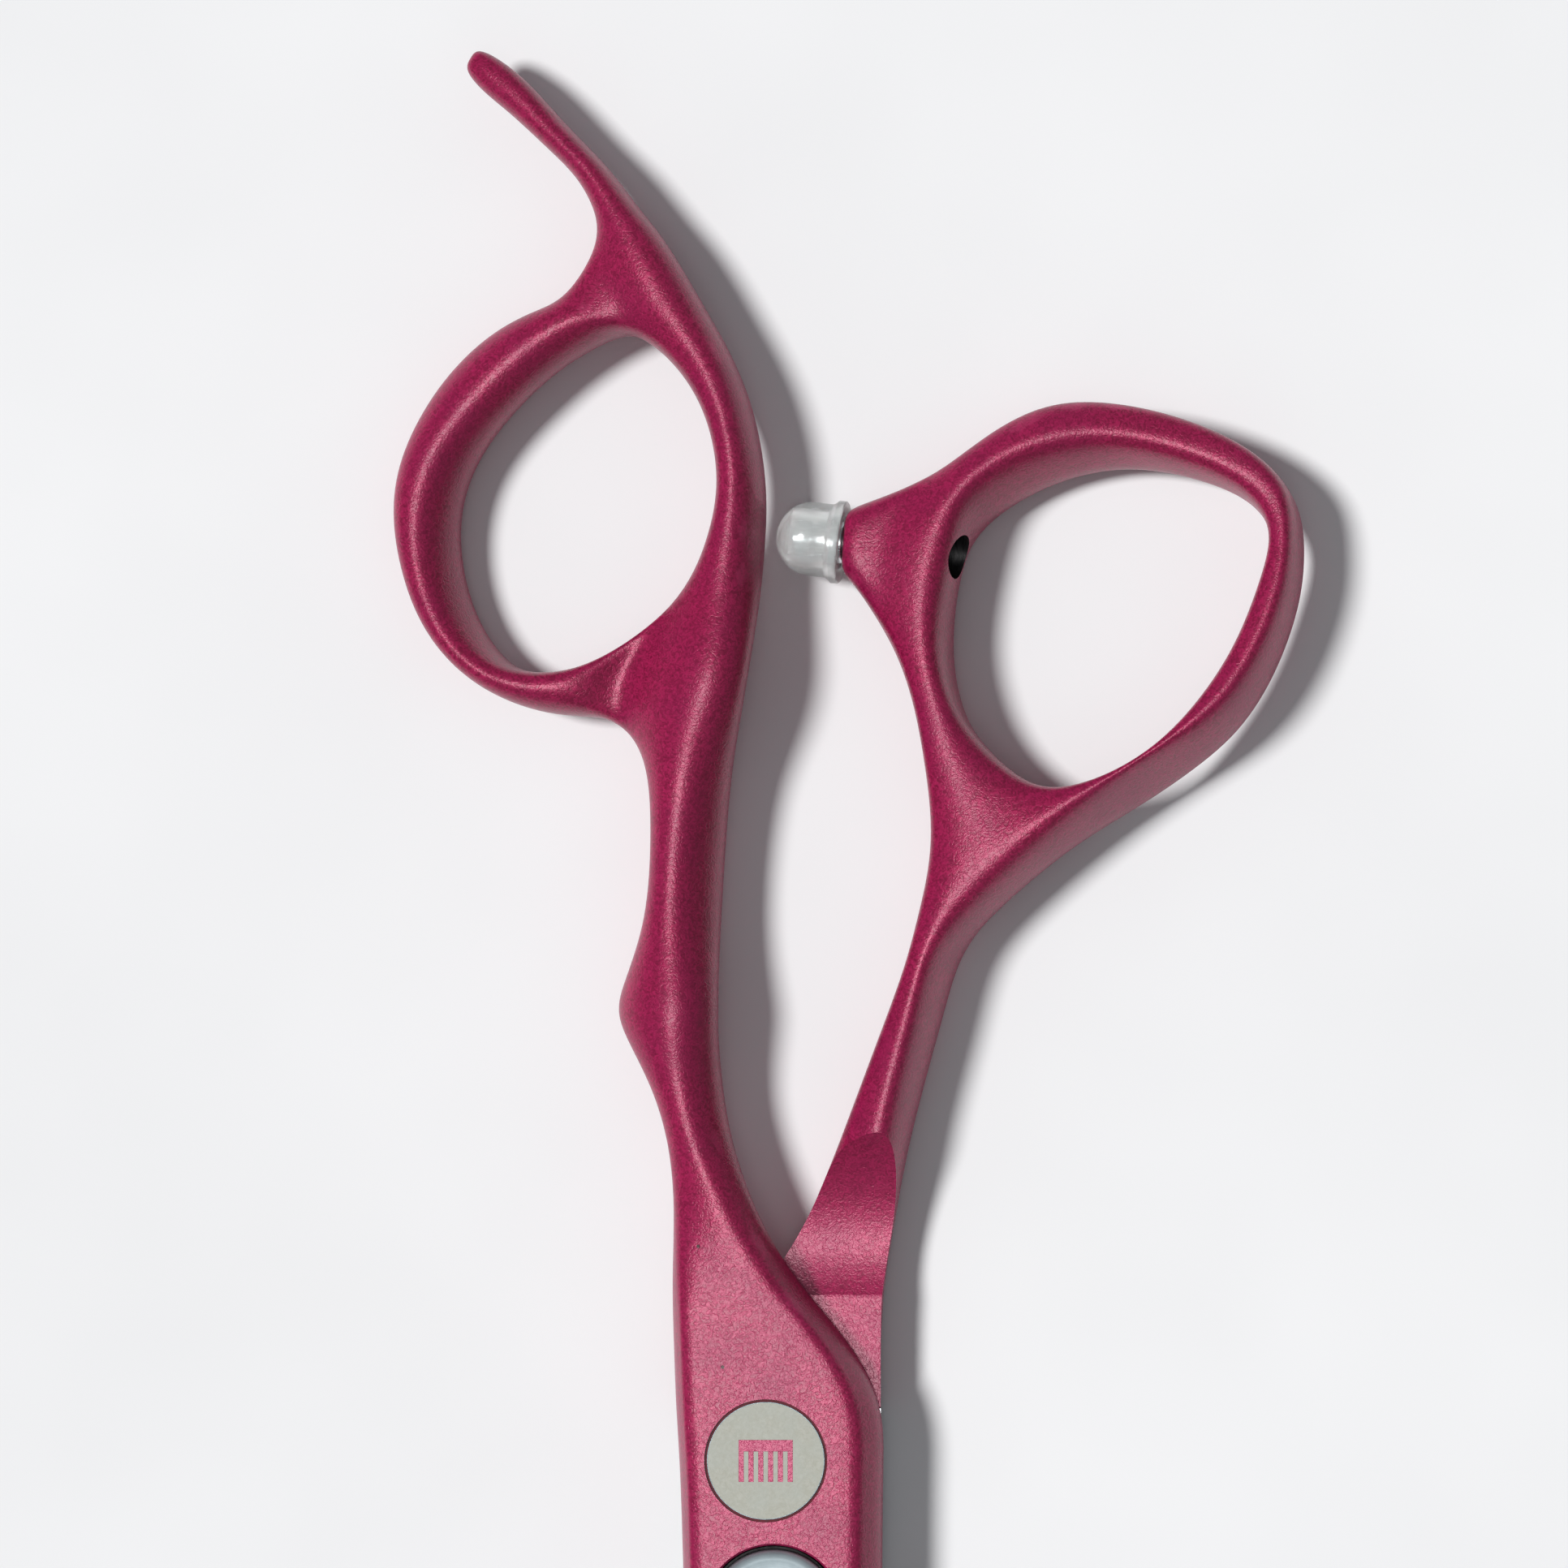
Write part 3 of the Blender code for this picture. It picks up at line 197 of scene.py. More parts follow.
# The same stations as the CAD handles: outline points on the two sides of the path, middle level,
# thickness, lean of the section, and how round it is.
FINGER_SPINE = (
    Station((-4.6, WELD_Y), (6.7, WELD_Y), UPPER_MID, HALF_THICKNESS, (0.0, 0.0), 0.0),
    Station((-5.55, -4.0), (7.0, -4.0), UPPER_MID, HALF_THICKNESS, (0.0, 0.0), 0.0),
    Station((-5.85, 3.0), (7.05, 3.0), UPPER_MID, HALF_THICKNESS, (0.0, 0.0), 0.0),
    Station((-6.05, 9.0), (7.08, 9.0), UPPER_MID, HALF_THICKNESS, (0.0, 0.0), 0.0),
    Station((-6.3, 13.0), (6.95, 13.0), UPPER_MID, HALF_THICKNESS, (0.0, 0.0), 0.0),
    Station((-6.45, 17.0), (5.15, 17.0), UPPER_MID, HALF_THICKNESS, (0.0, 0.0), 0.0),
    Station((-6.6, 21.0), (1.9, 21.0), UPPER_MID, HALF_THICKNESS, (0.0, 0.0), 0.1),
    Station((-6.6, 25.0), (-0.6, 25.0), UPPER_MID, HALF_THICKNESS + 0.2, (-0.15, 0.0), 0.35),
    Station((-6.8, 30.0), (-2.6, 30.0), RIDE + 1.2, FINGER_SHANK_DEPTH - 1.4, (-0.55, 0.0), 0.7),
    Station((-7.9, 34.0), (-3.3, 34.0), RIDE + 0.85, FINGER_SHANK_DEPTH - 0.6, (-0.75, 0.0), 1.0),
    Station((-9.6, 37.4), (-3.6, 37.4), RIDE + 0.75, FINGER_SHANK_DEPTH, (-0.8, 0.0), 1.0),
    Station((-9.95, 39.2), (-3.6, 39.2), RIDE + 0.75, FINGER_SHANK_DEPTH, (-0.8, 0.0), 1.0),
    Station((-9.55, 41.0), (-3.58, 41.0), RIDE + 0.75, FINGER_SHANK_DEPTH, (-0.8, 0.0), 1.0),
    Station((-8.3, 45.0), (-3.4, 45.0), RIDE + 0.75, FINGER_SHANK_DEPTH, (-0.8, 0.0), 1.0),
    Station((-7.95, 50.0), (-3.1, 50.0), RIDE + 0.75, FINGER_SHANK_DEPTH, (-0.8, 0.0), 1.0),
    Station((-8.15, 54.4), (-2.7, 54.4), RIDE + 0.75, FINGER_SHANK_DEPTH, (-0.8, 0.0), 1.0),
    Station((-9.1, 57.0), (-2.2, 57.8), RIDE + 0.75, FINGER_SHANK_DEPTH, (-0.85, 0.05), 1.0),
    Station((-9.2, 60.6), (-1.6, 61.4), RIDE + 0.75, FINGER_SHANK_DEPTH - 0.2, (-0.8, 0.1), 1.0),
    Station((-6.1, 65.0), (-0.95, 65.6), RIDE + 0.85, FINGER_RING_DEPTH, (-0.65, 0.15), 1.0),
    Station((-4.35, 69.0), (-0.62, 69.4), RIDE + 0.95, FINGER_RING_DEPTH - 0.2, (-0.5, 0.15), 1.0),
    Station((-3.65, 73.0), (-0.5, 73.0), RIDE + 1.0, FINGER_RING_DEPTH - 0.4, (-0.42, 0.15), 1.0),
    Station((-4.35, 77.0), (-1.25, 77.6), RIDE + 0.95, FINGER_RING_DEPTH - 0.4, (-0.42, 0.15), 1.0),
    Station((-6.1, 80.2), (-2.75, 81.5), RIDE + 0.85, FINGER_RING_DEPTH - 0.2, (-0.4, 0.15), 1.0),
    Station((-8.6, 82.75), (-4.7, 84.9), RIDE + 0.75, FINGER_RING_DEPTH - 0.2, (-0.4, 0.15), 1.0),
    Station((-10.4, 85.2), (-6.0, 87.2), RIDE + 0.65, FINGER_RING_DEPTH - 0.2, (-0.4, 0.15), 1.0),
    Station((-11.15, 88.2), (-7.4, 89.4), RIDE + 0.6, FINGER_REST_DEPTH + 1.2, (-0.4, 0.15), 1.0),
    Station((-11.5, 90.4), (-8.9, 91.3), RIDE + 0.55, FINGER_REST_DEPTH + 0.8, (-0.4, 0.15), 1.0),
    Station((-12.75, 92.75), (-10.8, 93.75), RIDE + 0.45, FINGER_REST_DEPTH + 0.4, (-0.35, 0.15), 1.0),
    Station((-14.6, 94.7), (-13.15, 96.05), RIDE + 0.35, FINGER_REST_DEPTH, (-0.3, 0.1), 1.0),
    Station((-17.0, 97.0), (-15.55, 98.7), RIDE + 0.25, FINGER_REST_DEPTH - 0.4, (-0.2, 0.1), 1.0),
    Station((-18.7, 98.4), (-17.4, 100.3), RIDE + 0.2, FINGER_REST_DEPTH - 0.8, (-0.1, 0.0), 1.0),
    Station((-20.1, 99.9), (-19.2, 101.4), RIDE + 0.2, FINGER_REST_DEPTH - 1.6, (0.0, 0.0), 1.0),
)
FINGER_RING_LOWER = 16
FINGER_RING_UPPER = 23

FINGER_RING = (
    Station((-11.3, 57.98), (-10.2, 61.8), RIDE, FINGER_RING_DEPTH, (-0.7, 0.2), 1.0),
    Station((-14.8, 58.2), (-13.9, 60.8), RIDE - 0.1, FINGER_RING_DEPTH, (-0.7, 0.2), 1.0),
    Station((-18.7, 59.6), (-17.2, 61.6), RIDE - 0.3, FINGER_RING_DEPTH, (-0.7, 0.2), 1.0),
    Station((-22.0, 62.7), (-19.35, 64.5), RIDE - 0.6, FINGER_RING_DEPTH + 0.2, (-0.7, 0.2), 1.0),
    Station((-23.95, 67.0), (-20.25, 67.9), RIDE - 0.75, FINGER_RING_DEPTH + 0.2, (-0.7, 0.2), 1.0),
    Station((-24.6, 71.5), (-20.3, 71.3), RIDE - 0.8, FINGER_RING_DEPTH + 0.2, (-0.7, 0.2), 1.0),
    Station((-23.7, 75.6), (-19.2, 74.6), RIDE - 0.75, FINGER_RING_DEPTH + 0.2, (-0.7, 0.2), 1.0),
    Station((-21.3, 79.8), (-17.0, 77.5), RIDE - 0.6, FINGER_RING_DEPTH, (-0.7, 0.25), 1.0),
    Station((-18.1, 82.95), (-14.6, 79.8), RIDE - 0.3, FINGER_RING_DEPTH, (-0.7, 0.25), 1.0),
    Station((-15.2, 84.5), (-12.4, 81.3), RIDE - 0.1, FINGER_RING_DEPTH, (-0.6, 0.25), 1.0),
    Station((-13.2, 85.5), (-10.4, 82.3), RIDE, FINGER_RING_DEPTH, (-0.6, 0.25), 1.0),
)

THUMB_BLOCK_DEPTH = HALF_THICKNESS + RIDE_ALLOWANCE
THUMB_BLOCK_MID = LOWER_MID + RIDE_ALLOWANCE / 2
THUMB_SPINE = (
    Station((-5.0, PLATE_Y), (6.95, PLATE_Y), THUMB_BLOCK_MID, THUMB_BLOCK_DEPTH, (0.0, 0.0), 0.0),
    Station((-3.1, 17.0), (6.98, 17.0), THUMB_BLOCK_MID + 0.2, THUMB_BLOCK_DEPTH + 0.4, (0.0, 0.0), 0.0),
    Station((-0.5, 21.0), (7.2, 21.0), RIDE - 0.9, THUMB_SHANK_DEPTH - 0.6, (-0.1, 0.0), 0.3),
    Station((2.0, 25.0), (7.85, 25.0), RIDE - 0.6, THUMB_SHANK_DEPTH - 0.2, (-0.3, 0.0), 0.7),
    Station((3.9, 29.5), (8.7, 29.5), RIDE - 0.4, THUMB_SHANK_DEPTH, (-0.45, 0.0), 1.0),
    Station((5.6, 34.0), (9.8, 34.0), RIDE - 0.2, THUMB_SHANK_DEPTH, (-0.5, 0.0), 1.0),
    Station((7.1, 38.0), (10.9, 38.0), RIDE, THUMB_SHANK_DEPTH, (-0.5, 0.0), 1.0),
    Station((8.45, 41.8), (11.8, 41.2), RIDE + 0.1, THUMB_SHANK_DEPTH, (-0.5, 0.1), 1.0),
    Station((9.35, 45.2), (12.9, 44.1), RIDE + 0.2, THUMB_SHANK_DEPTH, (-0.48, 0.2), 1.0),
    Station((10.25, 49.4), (14.5, 49.5), RIDE + 0.3, THUMB_SHANK_DEPTH, (-0.45, 0.3), 1.0),
    Station((10.1, 54.2), (13.2, 56.0), RIDE + 0.2, THUMB_RING_DEPTH, (-0.4, 0.35), 1.0),
    Station((9.2, 58.3), (12.1, 59.3), RIDE + 0.1, THUMB_RING_DEPTH, (-0.36, 0.4), 1.0),
    Station((7.9, 62.4), (11.55, 63.2), RIDE, THUMB_RING_DEPTH, (-0.36, 0.42), 1.0),
    Station((7.0, 68.0), (12.3, 67.9), RIDE - 0.1, THUMB_RING_DEPTH, (-0.25, 0.45), 1.0),
    Station((11.1, 73.65), (13.7, 70.3), RIDE - 0.3, THUMB_RING_DEPTH + 0.4, (-0.34, 0.48), 1.0),
    Station((14.7, 76.6), (16.6, 72.3), RIDE - 0.45, THUMB_RING_DEPTH + 0.6, (-0.34, 0.5), 1.0),
    Station((18.7, 78.25), (19.3, 73.5), RIDE - 0.4, THUMB_RING_DEPTH + 0.4, (-0.34, 0.48), 1.0),
    Station((23.0, 78.15), (22.6, 74.1), RIDE - 0.2, THUMB_RING_DEPTH - 0.2, (-0.34, 0.44), 1.0),
    Station((27.3, 77.0), (26.2, 73.7), RIDE + 0.05, THUMB_RING_DEPTH - 0.8, (-0.34, 0.4), 1.0),
    Station((31.1, 75.1), (29.6, 72.6), RIDE + 0.3, THUMB_RING_DEPTH - 1.1, (-0.34, 0.38), 1.0),
    Station((33.7, 72.4), (31.5, 71.0), RIDE + 0.5, THUMB_RING_DEPTH - 1.2, (-0.34, 0.38), 1.0),
    Station((34.45, 69.0), (32.0, 69.0), RIDE + 0.65, THUMB_RING_DEPTH - 1.2, (-0.34, 0.4), 1.0),
    Station((34.15, 65.4), (31.2, 66.2), RIDE + 0.8, THUMB_RING_DEPTH - 1.0, (-0.34, 0.4), 1.0),
    Station((32.6, 61.0), (29.6, 62.3), RIDE + 0.9, THUMB_RING_DEPTH - 0.8, (-0.35, 0.42), 1.0),
    Station((29.9, 56.8), (27.2, 58.8), RIDE + 1.0, THUMB_RING_DEPTH - 0.5, (-0.36, 0.42), 1.0),
    Station((25.9, 53.7), (23.9, 55.5), RIDE + 0.95, THUMB_RING_DEPTH - 0.2, (-0.36, 0.42), 1.0),
    Station((21.9, 51.0), (20.4, 53.95), RIDE + 0.8, THUMB_RING_DEPTH, (-0.38, 0.4), 1.0),
    Station((17.7, 48.4), (17.0, 53.7), RIDE + 0.6, THUMB_RING_DEPTH, (-0.42, 0.35), 1.0),
)
THUMB_RING_JOIN = 8
THUMB_BOSS_ROOT = 12

THUMB_BOSS = (
    Station((5.3, 66.6), (5.8, 71.75), RIDE - 0.45, THUMB_RING_DEPTH - 1.0, (-0.16, 0.05), 1.0),
    Station((4.5, 67.2), (4.75, 71.3), RIDE - 0.6, BUMPER_DIAMETER - 0.4, (-0.16, 0.02), 1.0),
)

FINGER_BLADE = (
    ((6.7, WELD_Y), (-4.6, WELD_Y), HALF_THICKNESS, 0.0),
    ((6.45, -13.0), (-3.0, -13.0), HALF_THICKNESS, 0.6),
    ((6.2, -18.0), (-1.7, -18.0), HALF_THICKNESS - 0.1, 1.0),
    ((5.8, -26.0), (-1.2, -26.0), HALF_THICKNESS - 0.4, 1.0),
    ((5.0, -37.0), (-1.0, -37.0), HALF_THICKNESS - 0.7, 1.0),
    ((3.9, -49.0), (-0.8, -49.0), HALF_THICKNESS - 1.1, 1.0),
    ((2.7, -59.0), (-0.55, -59.0), TIP_THICKNESS + 0.4, 1.0),
    ((1.6, -65.5), (-0.25, -65.5), TIP_THICKNESS + 0.1, 1.0),
    ((0.85, -68.0), (0.1, -68.0), TIP_THICKNESS, 1.0),
)
THUMB_BLADE = (
    ((6.95, PLATE_Y), (-5.0, PLATE_Y), HALF_THICKNESS, 0.0),
    ((7.0, 8.0), (-5.55, 8.0), HALF_THICKNESS, 0.0),
    ((6.9, 2.0), (-5.8, 2.0), HALF_THICKNESS, 0.0),
    ((6.3, -4.0), (-6.1, -4.0), HALF_THICKNESS, 0.0),
    ((4.9, WELD_Y), (-6.15, WELD_Y), HALF_THICKNESS, 0.2),
    ((3.2, -13.5), (-6.0, -13.5), HALF_THICKNESS, 0.7),
    ((2.2, -18.5), (-5.7, -18.5), HALF_THICKNESS - 0.1, 1.0),
    ((1.7, -26.0), (-5.2, -26.0), HALF_THICKNESS - 0.4, 1.0),
    ((1.5, -37.0), (-4.4, -37.0), HALF_THICKNESS - 0.7, 1.0),
    ((1.3, -49.0), (-3.3, -49.0), HALF_THICKNESS - 1.1, 1.0),
    ((1.05, -59.0), (-2.1, -59.0), TIP_THICKNESS + 0.4, 1.0),
    ((0.75, -65.5), (-1.0, -65.5), TIP_THICKNESS + 0.1, 1.0),
    ((0.4, -68.0), (-0.25, -68.0), TIP_THICKNESS, 1.0),
)

RIGHT, TOP_RIGHT, TOP, TOP_LEFT, LEFT, LOW_LEFT, LOW, LOW_RIGHT = range(8)
CORNERS = (TOP_RIGHT, TOP_LEFT, LOW_LEFT, LOW_RIGHT)
Roundness = namedtuple("Roundness", "corner exponent")
FINGER_ROUND = Roundness(0.76, 1.9)
THUMB_ROUND = Roundness(0.9, 1.5)


# ---------------------------------------------------------------------------
# Material tools
# ---------------------------------------------------------------------------


class Nodes:
    """A material's node tree, with short calls for what the materials below need."""

    def __init__(self, name):
        self.material = bpy.data.materials.new(name)
        self.material.use_nodes = True
        self.tree = self.material.node_tree
        self.shader = self.tree.nodes["Principled BSDF"]

    def node(self, kind, **inputs):
        made = self.tree.nodes.new(kind)
        for name, value in inputs.items():
            self.put(made.inputs[name.replace("_", " ")], value)
        return made

    def put(self, socket, value):
        if isinstance(value, bpy.types.NodeSocket):
            self.tree.links.new(value, socket)
        else:
            socket.default_value = value

    def place(self, stretch=(1.0, 1.0, 1.0)):
        """The point on the piece in millimetres, stretched along the axes."""
        coords = self.node("ShaderNodeTexCoord")
        scaled = self.node("ShaderNodeMapping")
        self.put(scaled.inputs["Vector"], coords.outputs["Object"])
        scaled.inputs["Scale"].default_value = [s / MM for s in stretch]
        return scaled.outputs["Vector"]

    def noise(self, where, scale, detail, rough, bend=0.0):
        made = self.node("ShaderNodeTexNoise", Scale=scale, Detail=detail, Roughness=rough, Distortion=bend)
        self.put(made.inputs["Vector"], where)
        return made.outputs["Fac"]

    def ramp(self, value, low, high, to_low=0.0, to_high=1.0):
        made = self.node("ShaderNodeMapRange")
        for socket, number in zip(made.inputs[1:5], (low, high, to_low, to_high)):
            socket.default_value = number
        self.put(made.inputs["Value"], value)
        return made.outputs["Result"]

    def math(self, operation, first, second):
        made = self.node("ShaderNodeMath")
        made.operation = operation
        self.put(made.inputs[0], first)
        self.put(made.inputs[1], second)
        return made.outputs["Value"]

    def mix(self, share, first, second):
        made = self.node("ShaderNodeMix")
        made.data_type = "RGBA"
        self.put(made.inputs[0], share)
        self.put(made.inputs[6], (*first, 1.0) if isinstance(first, tuple) else first)
        self.put(made.inputs[7], (*second, 1.0) if isinstance(second, tuple) else second)
        return made.outputs[2]

    def specks(self, density, size):
        """Rare dots, 1 inside a dot and 0 elsewhere."""
        cells = self.node("ShaderNodeTexVoronoi", Scale=density)
        self.put(cells.inputs["Vector"], self.place())
        return self.ramp(cells.outputs["Distance"], size, size * 0.8)

    def edges(self, low, high):
        """How convex the surface is, from 0 on the flats to 1 on the edges."""
        return self.ramp(self.node("ShaderNodeNewGeometry").outputs["Pointiness"], low, high)

    def bump(self, height, depth):
        made = self.node("ShaderNodeBump", Distance=depth * MM)
        self.put(made.inputs["Height"], height)
        return made.outputs["Normal"]

    def set(self, **sockets):
        for name, value in sockets.items():
            socket = self.shader.inputs[name.replace("_", " ")]
            self.put(socket, (*value, 1.0) if isinstance(value, tuple) and len(value) == 3 else value)
        return self.material


# ---------------------------------------------------------------------------
# Materials
# ---------------------------------------------------------------------------

PAINT_DEEP = (0.20, 0.001, 0.036)
PAINT_BRIGHT = (0.44, 0.010, 0.092)
PAINT_BROAD = (0.26, 0.002, 0.066)
PAINT_WORN = (0.55, 0.05, 0.16)
PAINT_SPECK = (0.05, 0.008, 0.012)


def enamel():
    """Metallic magenta enamel with a fine wrinkle, thin on the edges."""
    n = Nodes("magenta_enamel")
    where = n.place()
    wrinkle = n.noise(where, 3.0, 1.5, 0.5, 1.8)
    flake = n.noise(where, 8.0, 1.0, 0.5)
    cloud = n.noise(where, 0.22, 3.0, 0.6)
    worms = n.ramp(wrinkle, 0.36, 0.64)
    flecks = n.math("MULTIPLY", n.ramp(flake, 0.35, 0.65), 0.3)
    tone = n.math("ADD", n.math("MULTIPLY", worms, 0.7), flecks)
    color = n.mix(tone, PAINT_DEEP, PAINT_BRIGHT)
    color = n.mix(n.ramp(cloud, 0.4, 0.7, 0.0, 0.35), color, PAINT_BROAD)
    color = n.mix(n.math("MULTIPLY", n.edges(0.52, 0.6), 0.3), color, PAINT_WORN)
    color = n.mix(n.specks(0.16, 0.022), color, PAINT_SPECK)
    rough = n.math("ADD", n.ramp(cloud, 0.3, 0.7, 0.37, 0.43), n.math("MULTIPLY", tone, 0.06))
    surface = n.bump(tone, 0.012)
    return n.set(
        Base_Color=color, Metallic=0.35, Roughness=rough, Normal=surface,
        Coat_Weight=0.44, Coat_Roughness=0.27, Coat_IOR=1.55, Coat_Normal=surface,
    )


def ground_steel():
    """Blade steel with grinding lines across the blade and a soft polish."""
    n = Nodes("ground_steel")
    across = n.noise(n.place((0.25, 9.0, 0.25)), 1.0, 4.0, 0.7)
    fine = n.noise(n.place((1.0, 26.0, 1.0)), 1.0, 2.0, 0.6)
    cloud = n.noise(n.place(), 0.12, 3.0, 0.6)
    lines = n.math("ADD", n.math("MULTIPLY", across, 0.6), n.math("MULTIPLY", fine, 0.4))
    color = n.mix(n.ramp(cloud, 0.35, 0.7), (0.60, 0.60, 0.62), (0.50, 0.50, 0.53))
    color = n.mix(n.ramp(lines, 0.4, 0.62, 0.0, 0.35), color, (0.72, 0.72, 0.73))
    rough = n.math("ADD", n.ramp(lines, 0.35, 0.65, 0.14, 0.26), n.ramp(cloud, 0.3, 0.7, 0.0, 0.06))
    return n.set(Base_Color=color, Metallic=1.0, Roughness=rough, Normal=n.bump(lines, 0.004))


def turned_steel(name, light, dark, rough_low, rough_high):
    """Bright steel with faint lathe rings round the pivot's axis."""
    n = Nodes(name)
    coords = n.node("ShaderNodeSeparateXYZ")
    n.put(coords.inputs["Vector"], n.place())
    flat = n.node("ShaderNodeCombineXYZ")
    n.put(flat.inputs["X"], coords.outputs["X"])
    n.put(flat.inputs["Y"], coords.outputs["Y"])
    far = n.node("ShaderNodeVectorMath")
    far.operation = "LENGTH"
    n.put(far.inputs[0], flat.outputs["Vector"])
    ring_place = n.node("ShaderNodeCombineXYZ")
    n.put(ring_place.inputs["X"], far.outputs["Value"])
    n.put(ring_place.inputs["Z"], coords.outputs["Z"])
    rings = n.noise(ring_place.outputs["Vector"], 14.0, 3.0, 0.6)
    cloud = n.noise(n.place(), 0.7, 3.0, 0.6)
    color = n.mix(n.ramp(cloud, 0.35, 0.68), light, dark)
    turned_rough = n.ramp(rings, 0.35, 0.65, rough_low, rough_high)
    rough = n.math("ADD", turned_rough, n.ramp(cloud, 0.3, 0.7, 0.0, 0.05))
    return n.set(Base_Color=color, Metallic=1.0, Roughness=rough, Normal=n.bump(rings, 0.003))


def hole_shade_steel():
    """The bare, oily steel wall of the threaded hole, coloured near black as painted shade of the deep
    hole, with the thread's fine rings.
    """
    n = Nodes("hole_shade_steel")
    grain = n.noise(n.place((3.0, 0.6, 0.6)), 2.0, 3.0, 0.6)
    color = n.mix(n.ramp(grain, 0.35, 0.65), (0.012, 0.012, 0.013), (0.03, 0.028, 0.028))
    rough = n.ramp(grain, 0.3, 0.7, 0.4, 0.55)
    return n.set(Base_Color=color, Metallic=0.6, Roughness=rough, Normal=n.bump(grain, 0.03))


def groove_shade_paint():
    """Painted shade: dark red enamel colour on the fine groove round the etched disc, standing in for the
    shade in that groove.
    """
    n = Nodes("groove_shade_paint")
    grain = n.noise(n.place(), 6.0, 3.0, 0.6)
    color = n.mix(n.ramp(grain, 0.35, 0.65), (0.07, 0.006, 0.010), (0.14, 0.010, 0.022))
    rough = n.ramp(grain, 0.3, 0.7, 0.55, 0.7)
    return n.set(Base_Color=color, Roughness=rough, Normal=n.bump(grain, 0.01))


def etched_metal():
    """Bare metal dulled by a laser: pale, matte and grainy."""
    n = Nodes("etched_metal")
    where = n.place()
    grain = n.noise(where, 3.6, 3.0, 0.65, 0.6)
    cloud = n.noise(where, 0.8, 2.0, 0.5)
    color = n.mix(n.ramp(grain, 0.36, 0.66), (0.38, 0.38, 0.32), (0.48, 0.48, 0.42))
    color = n.mix(n.ramp(cloud, 0.35, 0.7, 0.0, 0.3), color, (0.42, 0.46, 0.43))
    rough = n.ramp(grain, 0.3, 0.7, 0.5, 0.62)
    return n.set(Base_Color=color, Metallic=0.1, Roughness=rough, Normal=n.bump(grain, 0.01))


def bearing_bronze():
    """Oiled bronze of the pivot bush."""
    n = Nodes("bearing_bronze")
    grain = n.noise(n.place(), 4.0, 3.0, 0.6)
    color = n.mix(n.ramp(grain, 0.35, 0.65), (0.48, 0.31, 0.13), (0.38, 0.23, 0.09))
    rough = n.ramp(grain, 0.3, 0.7, 0.32, 0.46)
    return n.set(Base_Color=color, Metallic=1.0, Roughness=rough, Normal=n.bump(grain, 0.006))


def black_nylon():
    """Moulded nylon of the click ring."""
    n = Nodes("black_nylon")
    grain = n.noise(n.place(), 6.0, 3.0, 0.6)
    color = n.mix(n.ramp(grain, 0.35, 0.65), (0.008, 0.008, 0.009), (0.018, 0.018, 0.019))
    rough = n.ramp(grain, 0.3, 0.7, 0.42, 0.58)
    return n.set(Base_Color=color, Roughness=rough, Normal=n.bump(grain, 0.01))


def clear_silicone():
    """Slightly milky clear silicone with a faint moulding texture."""
    n = Nodes("clear_silicone")
    cloud = n.noise(n.place(), 0.8, 3.0, 0.6, 0.4)
    color = n.mix(n.ramp(cloud, 0.35, 0.65), (0.97, 0.98, 0.96), (0.90, 0.94, 0.93))
    rough = n.ramp(cloud, 0.3, 0.7, 0.12, 0.2)
    return n.set(
        Base_Color=color, Roughness=rough, Normal=n.bump(cloud, 0.02),
        Transmission_Weight=0.74, IOR=1.41,
    )


# ---------------------------------------------------------------------------
# Shapes
# ---------------------------------------------------------------------------


def held(points, closed_ends=(None, None)):
    """Pushes each inner point of a bent run out by what subdivision will pull it in."""
    before, after = closed_ends
    run = [before or points[0]] + list(points) + [after or points[-1]]
    moved = []
    for i in range(1, len(run) - 1):
        end = (i == 1 and before is None) or (i == len(run) - 2 and after is None)
        settled = (run[i - 1] + 4 * run[i] + run[i + 1]) / 6
        moved.append(run[i].copy() if end else 2 * run[i] - settled)
    return moved


def round_profile(roundness):
    """Eight cage points that subdivide to a round section of half width and half depth 1."""
    c = roundness.corner
    kept = (4 + 2 * c) / 6
    rows = [(1, 0), (c, c), (0, 1), (-c, c), (-1, 0), (-c, -c), (0, -1), (c, -c)]
    return [(x / kept, z / kept) for x, z in rows]


def block_profile(half_width, half_depth):
    """A flat-sided section with a sloped band along its upper right edge."""
    band = 1 - EDGE_BAND / half_width
    drop = 1 - EDGE_BAND_DROP / half_depth
    left = EDGE_ROUND / half_width - 1
    return [(1, drop), (band, 1), (0, 1), (left, 1), (-1, 0), (-1, -1), (0, -1), (1, -1)]


def plain_profile(*_sizes):
    """A rectangular section."""
    return [(1, 0), (1, 1), (0, 1), (-1, 1), (-1, 0), (-1, -1), (0, -1), (1, -1)]


def wedge_profile(side):
    """A blade section: flat hollow inner face, convex outer face, cutting edge on the right."""
    edge = 2 * EDGE_THICKNESS - 1
    hollow = 2 * HOLLOW - 1
    outer = [(1, edge), (0.55, 0.0), (-0.1, 0.72), (-0.85, 1), (-1, 0.3)]
    rows = outer + [(-1, -1), (0, hollow), (1, -1)]
    if side > 0:
        return rows
    turned_over = [(-x, -z) for x, z in rows]
    return turned_over[4:] + turned_over[:4]


def mixed(first, second, share):
    """The points between two profiles: the first at share 0 and the second at 1."""
    return [
        (a[0] * (1 - share) + b[0] * share, a[1] * (1 - share) + b[1] * share)
        for a, b in zip(first, second)
    ]


def round_half_width(reach, half_depth, slope, roundness):
    """Half the width of a rounded section that reaches this far sideways once it leans."""
    tip = math.atan(abs(slope))
    q = roundness.exponent
    left_over = reach**q - (half_depth * math.sin(tip)) ** q
    return max(left_over, 0.05) ** (1 / q) / math.cos(tip)


